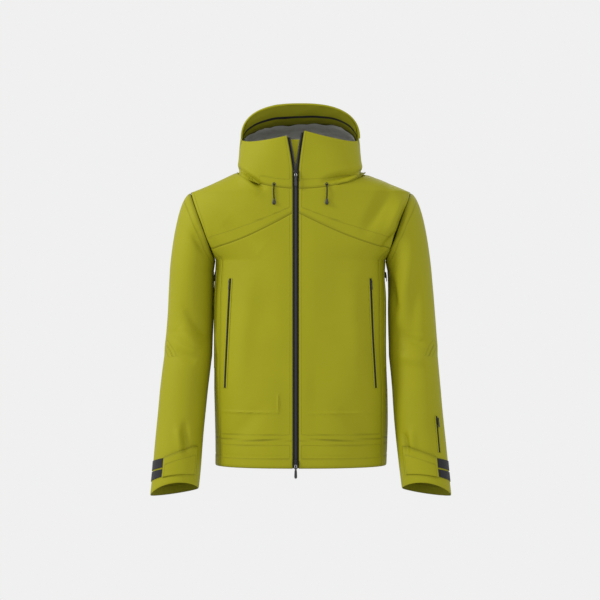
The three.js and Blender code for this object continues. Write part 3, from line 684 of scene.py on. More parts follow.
def mesh_object(name: str, points: Array, faces: Array, finishes: Sequence[Finish]) -> bpy.types.Object:
    """A smooth object from points in millimetres and quads or triangles.

    Args:
        name: Name of the object and of its mesh.
        points: Corners in millimetres.
        faces: Corner indices, one row for each face.
        finishes: Materials of the object, in order.

    Returns:
        The new object, linked to the scene.
    """
    if signed_volume(points, faces if faces.shape[1] == 4 else faces[:, [0, 1, 2, 2]]) < 0:
        faces = faces[:, ::-1]
    mesh = bpy.data.meshes.new(name)
    corners = faces.shape[1]
    mesh.vertices.add(len(points))
    mesh.vertices.foreach_set("co", (points * MM).astype(np.float32).ravel())
    mesh.loops.add(faces.size)
    mesh.loops.foreach_set("vertex_index", faces.astype(np.int32).ravel())
    mesh.polygons.add(len(faces))
    mesh.polygons.foreach_set("loop_start", np.arange(0, faces.size, corners, dtype=np.int32))
    mesh.update(calc_edges=True)
    mesh.shade_smooth()
    mesh.set_sharp_from_angle(angle=np.radians(50))
    for finish in finishes:
        mesh.materials.append(bpy.data.materials[finish.look])
    obj = bpy.data.objects.new(name, mesh)
    bpy.context.scene.collection.objects.link(obj)
    return obj


def point_attribute(mesh: bpy.types.Mesh, name: str, values: Array) -> None:
    """Store one number for each corner of a mesh."""
    layer = mesh.attributes.new(name, "FLOAT", "POINT")
    layer.data.foreach_set("value", values.astype(np.float32).ravel())


def follow(obj: bpy.types.Object, body: str | Bend) -> None:
    """Let a piece ride on a body; a piece given a Bend is only fixed in world space and does not bend."""
    if isinstance(body, Bend):
        start, end = (tuple(c * MM for c in place) for place in (body.start, body.end))
        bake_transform(obj)
        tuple(start)
        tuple(end)
    else:
        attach(obj, body)


def sew(panel: Panel) -> bpy.types.Object:
    """Cut, drape and mesh one panel, give it its cloth's materials and hide the CAD parts it stands for.

    Args:
        panel: The panel's facts.

    Returns:
        The panel's object.
    """
    rows, columns = panel.size
    us = lerp(*panel.u, edge_lines(columns, panel.wrap))
    vs = lerp(*panel.v, edge_lines(rows, False))
    u, v = np.meshgrid(us, vs)
    bare = panel.surface(u, v)
    normals = panel.sign * grid_normals(bare, panel.wrap)
    cloth = drape(bare, normals, panel.draped)
    if panel.crumple:
        cloth = cloth + normals * (panel.crumple * crumpled(bare))[..., None]
    share_u = (u - panel.u[0]) / (panel.u[1] - panel.u[0])
    dome = panel.dome * (1 - (2 * share_u - 1) ** 2)
    seam = seam_distance(cloth, panel)
    roll = panel.roll * np.exp(-((seam / 1.7) ** 2))
    outer = cloth + normals * (panel.out + dome - roll)[..., None]
    inner = cloth + normals * (panel.out - panel.depth)
    points = np.concatenate((outer.reshape(-1, 3), inner.reshape(-1, 3)))
    faces, inside = slab_faces(len(vs), len(us), panel.wrap)
    flip = signed_volume(points, faces) < 0
    finishes = [panel.finish] + ([panel.inside] if panel.inside else [])
    obj = mesh_object(panel.name, points, faces[:, ::-1] if flip else faces, finishes)
    mesh = obj.data
    if panel.inside:
        mesh.polygons.foreach_set("material_index", inside.astype(np.int32))
    point_attribute(mesh, "seam", np.tile(seam * MM, 2))
    lay_uvs(mesh, outer)
    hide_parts(*panel.replaces)
    follow(obj, panel.body)
    declare_sheet(outer, panel)
    return obj


def lay_uvs(mesh: bpy.types.Mesh, outer: Array) -> None:
    """UVs in metres of running length, the same for both faces of the slab."""
    along_u, along_v = arc(outer, 1), arc(outer, 0)
    flat = np.stack((along_u, along_v), -1).reshape(-1, 2) * MM
    both = np.tile(flat, (2, 1))
    corner = np.empty(len(mesh.loops), np.int32)
    mesh.loops.foreach_get("vertex_index", corner)
    layer = mesh.uv_layers.new(name="cloth")
    layer.data.foreach_set("uv", both[corner].astype(np.float32).ravel())


def declare_sheet(outer: Array, panel: Panel) -> None:
    """Measure the flat size of a panel along its lines, stopping early for tapes and piping; the sizes are
    not used.
    """
    closed = np.concatenate((outer, outer[:, :1]), axis=1) if panel.wrap else outer
    a, b = np.diff(closed, axis=1)[:-1], np.diff(closed, axis=0)[:, :-1]
    area = float(np.linalg.norm(np.cross(a, b), axis=-1).sum()) * MM * MM
    width = float(arc(closed, 1)[:, -1].max()) * MM
    length = float(arc(closed, 0)[-1].max()) * MM
    area = min(area, width * length)
    if min(width, length) < NARROWEST_SHEET:
        return
    list(panel.rests_on)


# ---------------------------------------------------------------- materials
@dataclass(frozen=True)
class Look:
    """How a material takes the light; lengths are metres."""

    finish: Finish
    colour: tuple[float, float, float]
    roughness: float
    sheen: float = 0.0
    weave: float = 0.0
    thread: float = 0.0014
    crinkle: float = 0.0
    crinkle_scale: float = 60.0
    variation: float = 0.0
    stitched: bool = False
    metallic: float = 0.0


LOOKS = (
    Look(Finish.SHELL, (0.285, 0.275, 0.0065), 0.62, 0.0, 0.00005, 0.0016, 0.00025, 26, 0.07, True),
    Look(Finish.FACING, (0.19, 0.186, 0.005), 0.72, 0.0, 0.00005, 0.0016, 0.0002, 40, 0.08, True),
    Look(Finish.LINING, (0.62, 0.62, 0.6), 0.4, 0.05, 0.00003, 0.0012, 0.0016, 42, 0.2, True),
    Look(Finish.TRIM, (0.0075, 0.0075, 0.0095), 0.6, 0.04, 0.00009, 0.0018),
    Look(Finish.ZIP, (0.0085, 0.0085, 0.0105), 0.48, 0.1, 0.00006, 0.0012),
    Look(Finish.PILE, (0.009, 0.009, 0.011), 0.95, 0.08, 0.0, 0.0014, 0.0007, 900),
    Look(Finish.PLASTIC, (0.012, 0.012, 0.014), 0.38),
    Look(Finish.METAL, (0.022, 0.022, 0.026), 0.34, metallic=0.75),
)
SILVER = "bright_metal"
CLOTH_SPECULAR, HARD_SPECULAR = 0.15, 0.5
CLOUD_SCALE = 9.0  # slow changes of colour for each metre of cloth
SEAM_WIDTH, STITCH_WIDTH, STITCH_OFFSET = 0.0018, 0.0012, 0.0062  # metres
STITCH_SHARE = 0.55  # how strongly a row of stitches shows, where a seam is 1
# Painted shade: seams and their rows of stitches are darkened in colour, standing in for the shade in their
# grooves.
SEAM_PAINTED_SHADE = 0.34  # how much darker a seam is
STITCH_DEPTH = 0.0007  # metres


class Nodes:
    """Short way to add and join shader nodes."""

    def __init__(self, tree: bpy.types.NodeTree) -> None:
        """Keep the tree that the nodes go into."""
        self.tree = tree

    def add(self, kind: str, **settings: object) -> bpy.types.Node:
        """A node of that kind; settings that are not its own fields set its inputs."""
        node = self.tree.nodes.new(kind)
        for name, value in settings.items():
            if hasattr(node, name):
                setattr(node, name, value)
            else:
                node.inputs[name.replace("_", " ").title()].default_value = value
        return node

    def join(self, source: bpy.types.NodeSocket, target: bpy.types.NodeSocket) -> None:
        """Link two sockets."""
        self.tree.links.new(source, target)

    def math(self, operation: str, a: object, b: object) -> bpy.types.NodeSocket:
        """Result of a sum, product or other operation on two numbers or sockets."""
        node = self.tree.nodes.new("ShaderNodeMath")
        node.operation = operation
        for socket, value in zip(node.inputs, (a, b)):
            if isinstance(value, bpy.types.NodeSocket):
                self.join(value, socket)
            else:
                socket.default_value = value
        return node.outputs[0]

    def fade(self, value: bpy.types.NodeSocket, reach: float) -> bpy.types.NodeSocket:
        """1 where value is 0, falling to 0 at reach."""
        node = self.tree.nodes.new("ShaderNodeMapRange")
        node.interpolation_type = "SMOOTHSTEP"
        self.join(value, node.inputs["Value"])
        node.inputs["From Min"].default_value = 0.0
        node.inputs["From Max"].default_value = reach
        node.inputs["To Min"].default_value = 1.0
        node.inputs["To Max"].default_value = 0.0
        return node.outputs["Result"]


def weave_height(nodes: Nodes, look: Look) -> bpy.types.NodeSocket:
    """Height of crossed threads, in metres, on the cloth's own UVs."""
    uv = nodes.add("ShaderNodeUVMap", uv_map="cloth")
    total = None
    for direction in ("X", "Y"):
        wave = nodes.add("ShaderNodeTexWave", bands_direction=direction)
        wave.inputs["Scale"].default_value = 2 * np.pi / (20 * look.thread)
        nodes.join(uv.outputs[0], wave.inputs["Vector"])
        part = nodes.math("MULTIPLY", wave.outputs["Fac"], look.weave)
        total = part if total is None else nodes.math("ADD", total, part)
    return total


def cloth_height(nodes: Nodes, look: Look, spot: bpy.types.NodeSocket) -> bpy.types.NodeSocket:
    """Height of crinkles, weave and stitching, in metres."""
    noise = nodes.add("ShaderNodeTexNoise")
    noise.inputs["Scale"].default_value = look.crinkle_scale
    noise.inputs["Detail"].default_value = 3.0
    noise.inputs["Distortion"].default_value = 0.6
    nodes.join(spot, noise.inputs["Vector"])
    height = nodes.math("MULTIPLY", noise.outputs["Fac"], look.crinkle)
    if look.weave:
        height = nodes.math("ADD", height, weave_height(nodes, look))
    if look.stitched:
        groove = nodes.math("MULTIPLY", stitch_mask(nodes), -STITCH_DEPTH)
        height = nodes.math("ADD", height, groove)
    return height


def stitch_mask(nodes: Nodes) -> bpy.types.NodeSocket:
    """1 along each seam and along the row of stitches beside it; it drives both the bumped groove and the
    painted shade in the seams.
    """
    seam = nodes.add("ShaderNodeAttribute", attribute_name="seam").outputs["Fac"]
    line = nodes.fade(seam, SEAM_WIDTH)
    beside = nodes.math("ABSOLUTE", nodes.math("SUBTRACT", seam, STITCH_OFFSET), 0.0)
    stitches = nodes.math("MULTIPLY", nodes.fade(beside, STITCH_WIDTH), STITCH_SHARE)
    return nodes.math("MAXIMUM", line, stitches)


def make_material(look: Look) -> None:
    """Build one material, named after its slot."""
    material = bpy.data.materials.new(look.finish.look)
    material.use_nodes = True
    nodes = Nodes(material.node_tree)
    shader = material.node_tree.nodes["Principled BSDF"]
    shader.inputs["Roughness"].default_value = look.roughness
    shader.inputs["Metallic"].default_value = look.metallic
    shader.inputs["Sheen Weight"].default_value = look.sheen
    shader.inputs["Specular IOR Level"].default_value = CLOTH_SPECULAR if look.weave else HARD_SPECULAR
    shader.inputs["Base Color"].default_value = (*look.colour, 1)
    if not (look.weave or look.crinkle):
        return
    spot = nodes.add("ShaderNodeTexCoord").outputs["Object"]
    bump = nodes.add("ShaderNodeBump")
    bump.inputs["Strength"].default_value = 1.0
    bump.inputs["Distance"].default_value = 1.0
    nodes.join(cloth_height(nodes, look, spot), bump.inputs["Height"])
    nodes.join(bump.outputs["Normal"], shader.inputs["Normal"])
    if look.variation:
        vary_colour_and_paint_seam_shade(nodes, look, spot, shader)


def vary_colour_and_paint_seam_shade(nodes: Nodes, look: Look, spot: bpy.types.NodeSocket, shader: bpy.types.Node) -> None:
    """Vary the colour slowly over the cloth, and paint shade into the seams and stitching by darkening the
    colour there.
    """
    noise = nodes.add("ShaderNodeTexNoise")
    noise.inputs["Scale"].default_value = CLOUD_SCALE
    noise.inputs["Detail"].default_value = 4.0
    nodes.join(spot, noise.inputs["Vector"])
    centred = nodes.math("SUBTRACT", noise.outputs["Fac"], 0.5)
    value = nodes.math("ADD", nodes.math("MULTIPLY", centred, 2 * look.variation), 1.0)
    # Painted shade: darker colour along the seams and rows of stitches.
    if look.stitched:
        value = nodes.math("SUBTRACT", value, nodes.math("MULTIPLY", stitch_mask(nodes), SEAM_PAINTED_SHADE))
    tint = nodes.add("ShaderNodeHueSaturation")
    tint.inputs["Color"].default_value = (*look.colour, 1)
    nodes.join(value, tint.inputs["Value"])
    nodes.join(tint.outputs["Color"], shader.inputs["Base Color"])


def make_materials() -> None:
    """Build every material."""
    for look in LOOKS:
        make_material(look)
    silver = bpy.data.materials.new(SILVER)
    silver.use_nodes = True
    shader = silver.node_tree.nodes["Principled BSDF"]
    shader.inputs["Base Color"].default_value = (0.62, 0.62, 0.64, 1)
    shader.inputs["Metallic"].default_value = 1.0
    shader.inputs["Roughness"].default_value = 0.26


# ---------------------------------------------------------------- what bends
def sleeve_bends(name: str, side: int) -> tuple[Bend, Bend]:
    """How a sleeve bends out of the armhole and at the elbow."""
    armhole = Bend("torso", f"upper_arm_{name}", (side * 248.3, 0, -92.5), (side * 297, 0, -110.6))
    elbow = Bend(
        f"upper_arm_{name}", f"lower_arm_{name}", (side * 270, -8, -352), (side * 276, -20, -440)
    )
    return armhole, elbow


HOOD_BEND = Bend("torso", "hood", (0, 18, 57), (0, 37.6, 119))


# ---------------------------------------------------------------- panels
def body_panels() -> list[Panel]:
    """Front, back, side and yoke panels."""
    panels = [
        Panel("back", lower_back, -1, (190, 130), Finish.SHELL, ("back_body",), "torso",
              inside=Finish.FACING, rests_on=("back_yoke",)),
        Panel("back_yoke_cloth", back_yoke, -1, (56, 150), Finish.SHELL, ("back_yoke",), "torso",
              inside=Finish.FACING, rests_on=("collar_left",)),
    ]
    for name, side in SIDES:
        panels += [
            Panel(f"front_{name}", lower_front(side), side, (200, 68), Finish.SHELL,
                  (f"front_body_{name}",), "torso", inside=Finish.FACING, rests_on=("back_yoke",)),
            Panel(f"yoke_{name}", front_yoke(side), side, (48, 76), Finish.SHELL,
                  (f"front_yoke_{name}",), "torso", inside=Finish.FACING, rests_on=("back_yoke",)),
            Panel(f"side_{name}", side_panel(side), side, (160, 40), Finish.SHELL,
                  (f"side_panel_{name}",), "torso", inside=Finish.FACING, rests_on=("back_yoke",)),
        ]
    return panels


def hood_panels() -> list[Panel]:
    """Crown, brim, linings and collar."""
    gusset, brim = 0.24, 0.12
    hung = {"inside": Finish.FACING, "rests_on": ("collar_left", "collar_right")}
    lined = {"seams": (0, 0, 1, 1), "rests_on": ("hood_centre",)}
    panels = [
        Panel("brim", crown, 1, (14, 150), Finish.SHELL, ("hood_brim",), HOOD_BEND,
              v=(0, brim), seams=(0, 0, 0, 1), **hung),
        Panel("hood_middle", crown, 1, (90, 76), Finish.SHELL, ("hood_centre",), HOOD_BEND,
              u=(0.5 - gusset, 0.5 + gusset), v=(brim, 1), **hung),
        Panel("hood_right", crown, 1, (90, 52), Finish.SHELL, ("hood_side_right",), HOOD_BEND,
              u=(0, 0.5 - gusset), v=(brim, 1), **hung),
        Panel("hood_left", crown, 1, (90, 52), Finish.SHELL, ("hood_side_left",), HOOD_BEND,
              u=(0.5 + gusset, 1), v=(brim, 1), **hung),
        Panel("rim_facing", slack_crown, 1, (46, 130), Finish.FACING, ("hood_rim_facing",), HOOD_BEND,
              u=(0.02, 0.98), v=(0.004, 0.275), out=-2.0, depth=1.0, crumple=0.5, **lined),
        Panel("rim_tape", slack_crown, 1, (6, 130), Finish.TRIM, ("hood_rim_binding",), HOOD_BEND,
              u=(0.03, 0.97), v=(0.118, 0.142), out=-3.2, depth=0.9, roll=0, crumple=0.5,
              held="stretched", seams=(0, 0, 0, 0), rests_on=("hood_rim_facing",)),
        Panel("head_lining", slack_crown, 1, (90, 130), Finish.LINING, ("hood_lining",), HOOD_BEND,
              u=(0.03, 0.97), v=(0.265, 0.97), out=-3.6, depth=1.0, crumple=2.6, **lined),
        Panel("rim_edge", rim_tube, 1, (150, 12), Finish.SHELL, ("hood_brim",), HOOD_BEND,
              wrap=True, draped=0, roll=0, depth=0.8, v=(0.01, 0.99), seams=(0, 0, 0, 0),
              held="stretched", rests_on=("hood_brim",)),
    ]
    for name, side in SIDES:
        panels += [
            Panel(f"collar_{name}_cloth", collar(side), side, (50, 64), Finish.SHELL,
                  (f"collar_{name}",), "torso", inside=Finish.FACING, rests_on=(f"front_yoke_{name}",)),
            Panel(f"collar_{name}_lining", collar(side), side, (40, 48), Finish.LINING,
                  (f"collar_lining_{name}",), "torso", u=(0.08, 0.95), v=(0.12, 0.93), out=-3.4,
                  depth=1.0, crumple=0.6, held="hung", rests_on=(f"collar_{name}",)),
        ]
    return panels


def rim_tube(u: Array, v: Array) -> Array:
    """Binding rolled over the rim of the hood: u runs round it and v along it."""
    radius, edge, step = 1.7, 0.003, 0.003
    base = crown(v, np.full_like(v, edge))
    inward = crown(v, np.full_like(v, 0.04)) - base
    along = crown(v + step, np.full_like(v, edge)) - crown(v - step, np.full_like(v, edge))
    normal = np.cross(along, inward)
    inward /= np.linalg.norm(inward, axis=-1, keepdims=True)
    normal /= np.linalg.norm(normal, axis=-1, keepdims=True)
    turn = (2 * np.pi * u)[..., None]
    return base - normal * 0.6 + radius * (np.cos(turn) * normal + np.sin(turn) * inward)


def sleeve_panels(name: str, side: int) -> list[Panel]:
    """Cap, elbow and forearm of one sleeve, its cuff's strips and tab."""
    surface = SLEEVE.surface(side)
    armhole, elbow = sleeve_bends(name, side)
    arm = {"wrap": True, "inside": Finish.FACING}
    upper, lower = f"upper_sleeve_{name}", f"forearm_{name}"
    patch = {"seams": (0, 0, 0, 0), "roll": 0.0, "held": "stretched", "rests_on": (lower,)}
    return [
        Panel(f"cap_{name}", surface, -side, (92, 112), Finish.SHELL, (upper,), armhole,
              v=(0, 0.385), seams=(0, 0, 1, 0), rests_on=(f"front_yoke_{name}",), **arm),
        Panel(f"elbow_{name}", surface, -side, (38, 112), Finish.SHELL, (upper, lower), elbow,
              v=(0.385, 0.53), seams=(0, 0, 0, 0), rests_on=(upper,), **arm),
        Panel(f"cuff_{name}", surface, -side, (112, 112), Finish.SHELL, (lower,), f"lower_arm_{name}",
              v=(0.53, 1), seams=(0, 0, 0, 1), rests_on=(upper,), **arm),
        Panel(f"strip_upper_{name}", surface, -side, (10, 40), Finish.PILE,
              (f"loop_strip_upper_{name}",), f"lower_arm_{name}", u=(0.8, 1.1), v=(0.884, 0.916),
              out=1.7, depth=1.2, **patch),
        Panel(f"strip_lower_{name}", surface, -side, (10, 40), Finish.PILE,
              (f"loop_strip_lower_{name}",), f"lower_arm_{name}", u=(0.8, 1.1), v=(0.922, 0.953),
              out=1.7, depth=1.2, **patch),
        Panel(f"tab_{name}_cloth", cuff_tab(side), -side, (26, 40), Finish.SHELL,
              (f"cuff_tab_{name}",), f"tab_{name}", out=4.4, depth=1.9, held="stretched",
              rests_on=(f"loop_strip_lower_{name}",)),
    ]


def cuff_tab(side: int) -> Surface:
    """Tab that narrows from its sewn end (u = 0) to its free end."""
    surface = SLEEVE.surface(side)

    def point(u: Array, v: Array) -> Array:
        top = 0.852 + 0.03 * np.clip((u - 0.18) / 0.82, 0, 1) ** 0.85
        return surface(lerp(0.602, 0.829, u), lerp(top, 0.957, v))

    return point


# ---------------------------------------------------------------- zips
@dataclass(frozen=True)
class SetZip:
    """A zip set into a panel: the line it follows and half widths of its parts, in millimetres."""

    node: str
    body: str
    slider_body: str
    line: Surface
    sign: int
    rest: str
    tape: float = 3.0
    coil: float = 1.5
    welt: float = 2.6

    def parts(self) -> list[Panel]:
        """Tape, coil and the two folded edges of cloth beside it."""
        common = {"seams": (0, 0, 0, 0), "roll": 0.0, "held": "stretched", "rests_on": (self.rest,)}

        def part(suffix: str, low: float, high: float, finish: Finish, **more: object) -> Panel:
            def surface(u: Array, v: Array) -> Array:
                return self.line(lerp(low, high, u), v)

            node = (f"{self.node}_tape",)
            return Panel(f"{self.node}_{suffix}", surface, self.sign, (90, 9), finish, node,
                         self.body, **{**common, **more})

        lip = self.tape + self.welt
        return [
            part("band", -self.tape, self.tape, Finish.ZIP, out=0.5, depth=1.0),
            part("coil", -self.coil, self.coil, Finish.ZIP, out=0.9, depth=0.9, dome=0.9),
            part("welt_a", -lip, -self.tape + 0.6, Finish.SHELL, out=0.9, depth=1.0, dome=0.8),
            part("welt_b", self.tape - 0.6, lip, Finish.SHELL, out=0.9, depth=1.0, dome=0.8),
        ]


def pocket_line(side: int) -> Surface:
    """Line of a hand pocket's zip; across is in millimetres and v runs down."""

    def point(across: Array, v: Array) -> Array:
        x = side * (lerp(165, 178, v) + across)
        z = lerp(-256, -515, v)
        return stack(x, FORM.front_y(x, z), z)

    return point


def vent_line(side: int) -> Surface:
    """Line of the zip under an arm."""

    def point(across: Array, v: Array) -> Array:
        y, z = -34 + across, lerp(-236, -470, v)
        return stack(side * FORM.side_x(y, z), y, z)

    return point


def forearm_line(across: Array, v: Array) -> Array:
    """Line of the pocket zip on the left forearm."""
    around = 365.0
    return SLEEVE.surface(1)(0.86 - across / around, lerp(0.7363, 0.862, v))


def set_zips() -> list[SetZip]:
    """Zips of the pockets and vents."""
    zips = [SetZip("forearm_pocket", "lower_arm_left", "forearm_pocket_slide", forearm_line, 1,
                   "forearm_left")]
    for name, side in SIDES:
        zips.append(SetZip(f"hand_pocket_{name}", "torso", f"pocket_slide_{name}", pocket_line(side), -side,
                           f"front_body_{name}"))
        zips.append(SetZip(f"underarm_vent_{name}", "torso", f"vent_slide_{name}", vent_line(side), -side,
                           f"side_panel_{name}", tape=3.4, coil=1.5, welt=2.0))
    return zips


def front_strip(side: int, inner: float, outer: float, low: float, high: float) -> Surface:
    """Strip beside the front zip; inner and outer are measured from the cloth's edge."""
    top = FORM.chin[0 if side > 0 else 1]

    def point(u: Array, v: Array) -> Array:
        z = lerp(low, high, v)
        x = FORM.zip_edge(side, z) + side * lerp(inner, outer, u)
        lean = np.maximum(0, (z - FORM.zip_v_z) / (top - FORM.zip_v_z))
        return stack(x, -FORM.front_depth(z) + 1.5 * lean, z)

    return point


def front_zip_panels(name: str, side: int) -> list[Panel]:
    """Tape and cord of one half of the front zip, and the folded edge of cloth beside it."""
    top = FORM.chin[0 if side > 0 else 1] - 4
    low = FORM.hem_z + 1
    common = {"seams": (0, 0, 0, 0), "roll": 0.0, "draped": 0.0, "held": "stretched",
              "rests_on": (f"front_body_{name}",)}
    return [
        Panel(f"tape_{name}", front_strip(side, -6.95, 3, low, top), side, (230, 12), Finish.ZIP,
              (f"front_zip_tape_{name}",), "torso", out=-1.7, depth=1.0, **common),
        Panel(f"bead_{name}", front_strip(side, -4.4, -2.6, low, top), side, (230, 6), Finish.ZIP,
              (f"front_zip_tape_{name}",), "torso", out=-1.5, depth=0.6, dome=0.5, **common),
    ]


def blocks(name: str, centres: Array, half: tuple[float, float, float], finish: Finish) -> bpy.types.Object:
    """Many equal boxes as one mesh.

    Args:
        name: Name of the object.
        centres: Centre of each box.
        half: Half its size along x, y and z.
        finish: Its material.

    Returns:
        The object.
    """
    signs = np.array([(x, y, z) for z in (-1, 1) for y in (-1, 1) for x in (-1, 1)], float)
    corners = centres[:, None] + signs * np.array(half)
    sides = np.array(((0, 2, 3, 1), (4, 5, 7, 6), (0, 1, 5, 4), (2, 6, 7, 3), (0, 4, 6, 2), (1, 3, 7, 5)))
    faces = (np.arange(len(centres))[:, None, None] * 8 + sides).reshape(-1, 4)
    return mesh_object(name, corners.reshape(-1, 3), faces, (finish,))


def front_teeth(name: str, side: int) -> bpy.types.Object:
    """One row of moulded teeth, half a step off the other row."""
    pitch, reach = 2.6, 2.0
    top = FORM.chin[0 if side > 0 else 1] - 4
    z = np.arange(FORM.hem_z + 2 + (pitch / 2 if side > 0 else 0), top, pitch)
    rail = front_strip(side, -6.95, -6.95 + reach, FORM.hem_z, top)
    middle = rail(np.full_like(z, 0.42), (z - FORM.hem_z) / (top - FORM.hem_z))
    obj = blocks(f"teeth_{name}", middle + (0, -0.2, 0), (1.75, 1.1, 0.8), Finish.PLASTIC)
    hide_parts(f"front_zip_teeth_{name}")
    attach(obj, "torso")
    return obj


# ---------------------------------------------------------------- lofted hardware
@dataclass(frozen=True)
class Ring:
    """A rounded cross-section of a lofted part, as shares of its half sizes; at runs 0 to 1."""

    at: float
    width: float
    depth: float


SLIDER = (Ring(0, 0.55, 0.4), Ring(0.05, 0.85, 0.8), Ring(0.2, 1, 1), Ring(0.5, 0.94, 0.72),
          Ring(0.8, 0.72, 0.9), Ring(0.95, 0.6, 0.7), Ring(1, 0.4, 0.4))
PULL = (Ring(0, 0.3, 0.5), Ring(0.05, 0.62, 0.8), Ring(0.25, 0.66, 0.8), Ring(0.4, 0.85, 0.95),
        Ring(0.85, 1, 1), Ring(0.96, 0.86, 0.9), Ring(1, 0.4, 0.5))
DROP = (Ring(0, 0.2, 0.2), Ring(0.08, 0.42, 0.42), Ring(0.3, 0.66, 0.66), Ring(0.55, 0.92, 0.92),
        Ring(0.72, 1, 1), Ring(0.88, 0.86, 0.86), Ring(0.97, 0.5, 0.5), Ring(1, 0.15, 0.15))


def loft(name: str, top: Array, low: Array, half: tuple[float, float], rings: Sequence[Ring],
         across: Array, finish: Finish) -> bpy.types.Object:
    """A closed part of rounded cross-sections between two points.

    Args:
        name: Name of the object.
        top: Centre of the first end.
        low: Centre of the other end.
        half: Half width and half depth, which rings are shares of.
        rings: Cross-sections in order.
        across: Unit direction of the width.
        finish: Its material.

    Returns:
        The object.
    """
    count, power = 28, 0.62
    run = (low - top) / np.linalg.norm(low - top)
    ahead = np.cross(run, across)
    turn = np.linspace(0, 2 * np.pi, count, endpoint=False)
    square = [np.sign(f) * np.abs(f) ** power for f in (np.cos(turn), np.sin(turn))]
    sizes = np.array([(r.at, r.width * half[0], r.depth * half[1]) for r in rings])
    at = np.linspace(0, 1, 40)
    at = np.unique(np.concatenate((at, sizes[:, 0])))
    width, depth = (np.interp(at, sizes[:, 0], sizes[:, n]) for n in (1, 2))
    centres = top + (low - top) * at[:, None]
    body = (
        centres[:, None]
        + square[0][None, :, None] * width[:, None, None] * across
        + square[1][None, :, None] * depth[:, None, None] * ahead
    )
    i, j = np.meshgrid(np.arange(count), np.arange(len(at) - 1))
    i, j = i.ravel(), j.ravel()
    k = (i + 1) % count
    faces = np.stack((j * count + i, j * count + k, (j + 1) * count + k, (j + 1) * count + i), -1)
    points = np.concatenate((body.reshape(-1, 3), [top, low]))
    first, last = len(points) - 2, len(points) - 1
    i = np.arange(0, count, 2)
    end = (len(at) - 1) * count
    caps = (
        np.stack((np.full_like(i, first), (i + 2) % count, i + 1, i), -1),
        np.stack((np.full_like(i, last), end + i, end + i + 1, end + (i + 2) % count), -1),
    )
    return mesh_object(name, points, np.concatenate((faces, *caps)), (finish,))


def hoop(name: str, centre: Array, across: Array, along: Array, size: tuple[float, float],
         wire: float, material: str) -> bpy.types.Object:
    """An oval ring of round wire in the plane of across and along."""
    big, small = 32, 10
    a, b = np.meshgrid(np.linspace(0, 2 * np.pi, big, endpoint=False),
                       np.linspace(0, 2 * np.pi, small, endpoint=False), indexing="ij")
    radial = np.cos(a)[..., None] * across + np.sin(a)[..., None] * along
    flat = np.cos(a)[..., None] * size[0] * across + np.sin(a)[..., None] * size[1] * along
    out = np.cross(across, along)
    points = centre + flat + wire * (np.cos(b)[..., None] * radial + np.sin(b)[..., None] * out)
    i, j = (g.ravel() for g in np.meshgrid(np.arange(big), np.arange(small), indexing="ij"))
    n, m = (i + 1) % big, (j + 1) % small
    faces = np.stack((i * small + j, n * small + j, n * small + m, i * small + m), -1)
    obj = mesh_object(name, points.reshape(-1, 3), faces, ())
    obj.data.materials.append(bpy.data.materials[material])
    return obj


X_AXIS = np.array((1.0, 0, 0))
ZIP_DOWN = np.array((0, -0.0345, -0.9994))


def node_middle(node: str) -> tuple[Array, Array]:
    """Centre and size of a CAD node, in millimetres."""
    low, high = (np.array(corner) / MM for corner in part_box(node))
    return (low + high) / 2, high - low


def place(obj: bpy.types.Object, body: str, slot: Finish, *nodes: str) -> bpy.types.Object:
    """Let a piece ride on a body and stand for its nodes."""
    if nodes:
        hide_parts(*nodes)
    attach(obj, body)
    return obj


def front_hardware(end: str) -> None:
    """Slider, bridge, puller and rings at one end of the front zip."""
    middle, size = node_middle(f"{end}_slider")
    half = size[2] / 2
    flip = 1 if end == "upper" else -1
    top, low = middle - ZIP_DOWN * half * flip, middle + ZIP_DOWN * half * flip
    slider = loft(f"{end}_slider_body", top, low, (5.6, 2.9), SLIDER, X_AXIS, Finish.METAL)
    place(slider, f"{end}_slider_body", Finish.METAL, f"{end}_slider")
    bridge = hoop(f"{end}_bridge", middle + (0, -3.0, 0), np.array((0, -1.0, 0)), ZIP_DOWN, (2.6, 6.5),
                  1.0, Finish.METAL.look)
    place(bridge, f"{end}_slider_body", Finish.METAL, f"{end}_slider")
    middle, size = node_middle(f"{end}_pull")
    top, low = middle - ZIP_DOWN * size[2] / 2, middle + ZIP_DOWN * size[2] / 2
    start = top + ZIP_DOWN * 5.5
    pull = loft(f"{end}_puller", start, low, (3.4, 1.3), PULL, X_AXIS, Finish.PLASTIC)
    place(pull, f"{end}_pull_body", Finish.METAL, f"{end}_pull")
    eye = hoop(f"{end}_eye", top + ZIP_DOWN * 4.6, X_AXIS, ZIP_DOWN, (2.5, 3.6), 0.75, SILVER)
    place(eye, f"{end}_pull_body", Finish.METAL, f"{end}_pull")
    if end == "lower":
        tip = hoop("lower_pull_tip", low - ZIP_DOWN * 1.0, X_AXIS, ZIP_DOWN, (2.3, 2.0), 0.7, SILVER)
        place(tip, "lower_pull_body", Finish.METAL, "lower_pull")


def small_slider(node: str, body: str, run: Array, facing: Array) -> None:
    """Slider with a short cord puller on a pocket or vent zip."""
    middle, size = node_middle(node)
    run = run / np.linalg.norm(run)
    facing = facing / np.linalg.norm(facing)
    across = np.cross(run, facing)
    reach = min(15.0, float(np.linalg.norm(size))) / 2
    base = middle - facing * 0.8
    slider = loft(f"{node}_shell", base - run * reach, base + run * reach, (3.5, 1.9), SLIDER, across,
                  Finish.METAL)
    place(slider, body, Finish.METAL, node)
    start = middle + facing * 1.4 - run * 1.5
    pull = loft(f"{node}_puller", start, start + run * 17, (2.0, 0.8), PULL, across, Finish.PLASTIC)
    place(pull, body, Finish.METAL, node)


def small_hardware() -> None:
    """Sliders of the pockets and vents."""
    for zip_ in set_zips():
        v = np.array((0.1, 0.2))
        along = zip_.line(np.zeros(2), v)
        beside = zip_.line(np.full(2, 3.0), v)
        run = along[1] - along[0]
        facing = np.cross(beside[0] - along[0], run)
        middle, _ = node_middle(f"{zip_.node}_slider")
        if facing @ middle < 0:
            facing = -facing
        small_slider(f"{zip_.node}_slider", zip_.slider_body, run, facing)


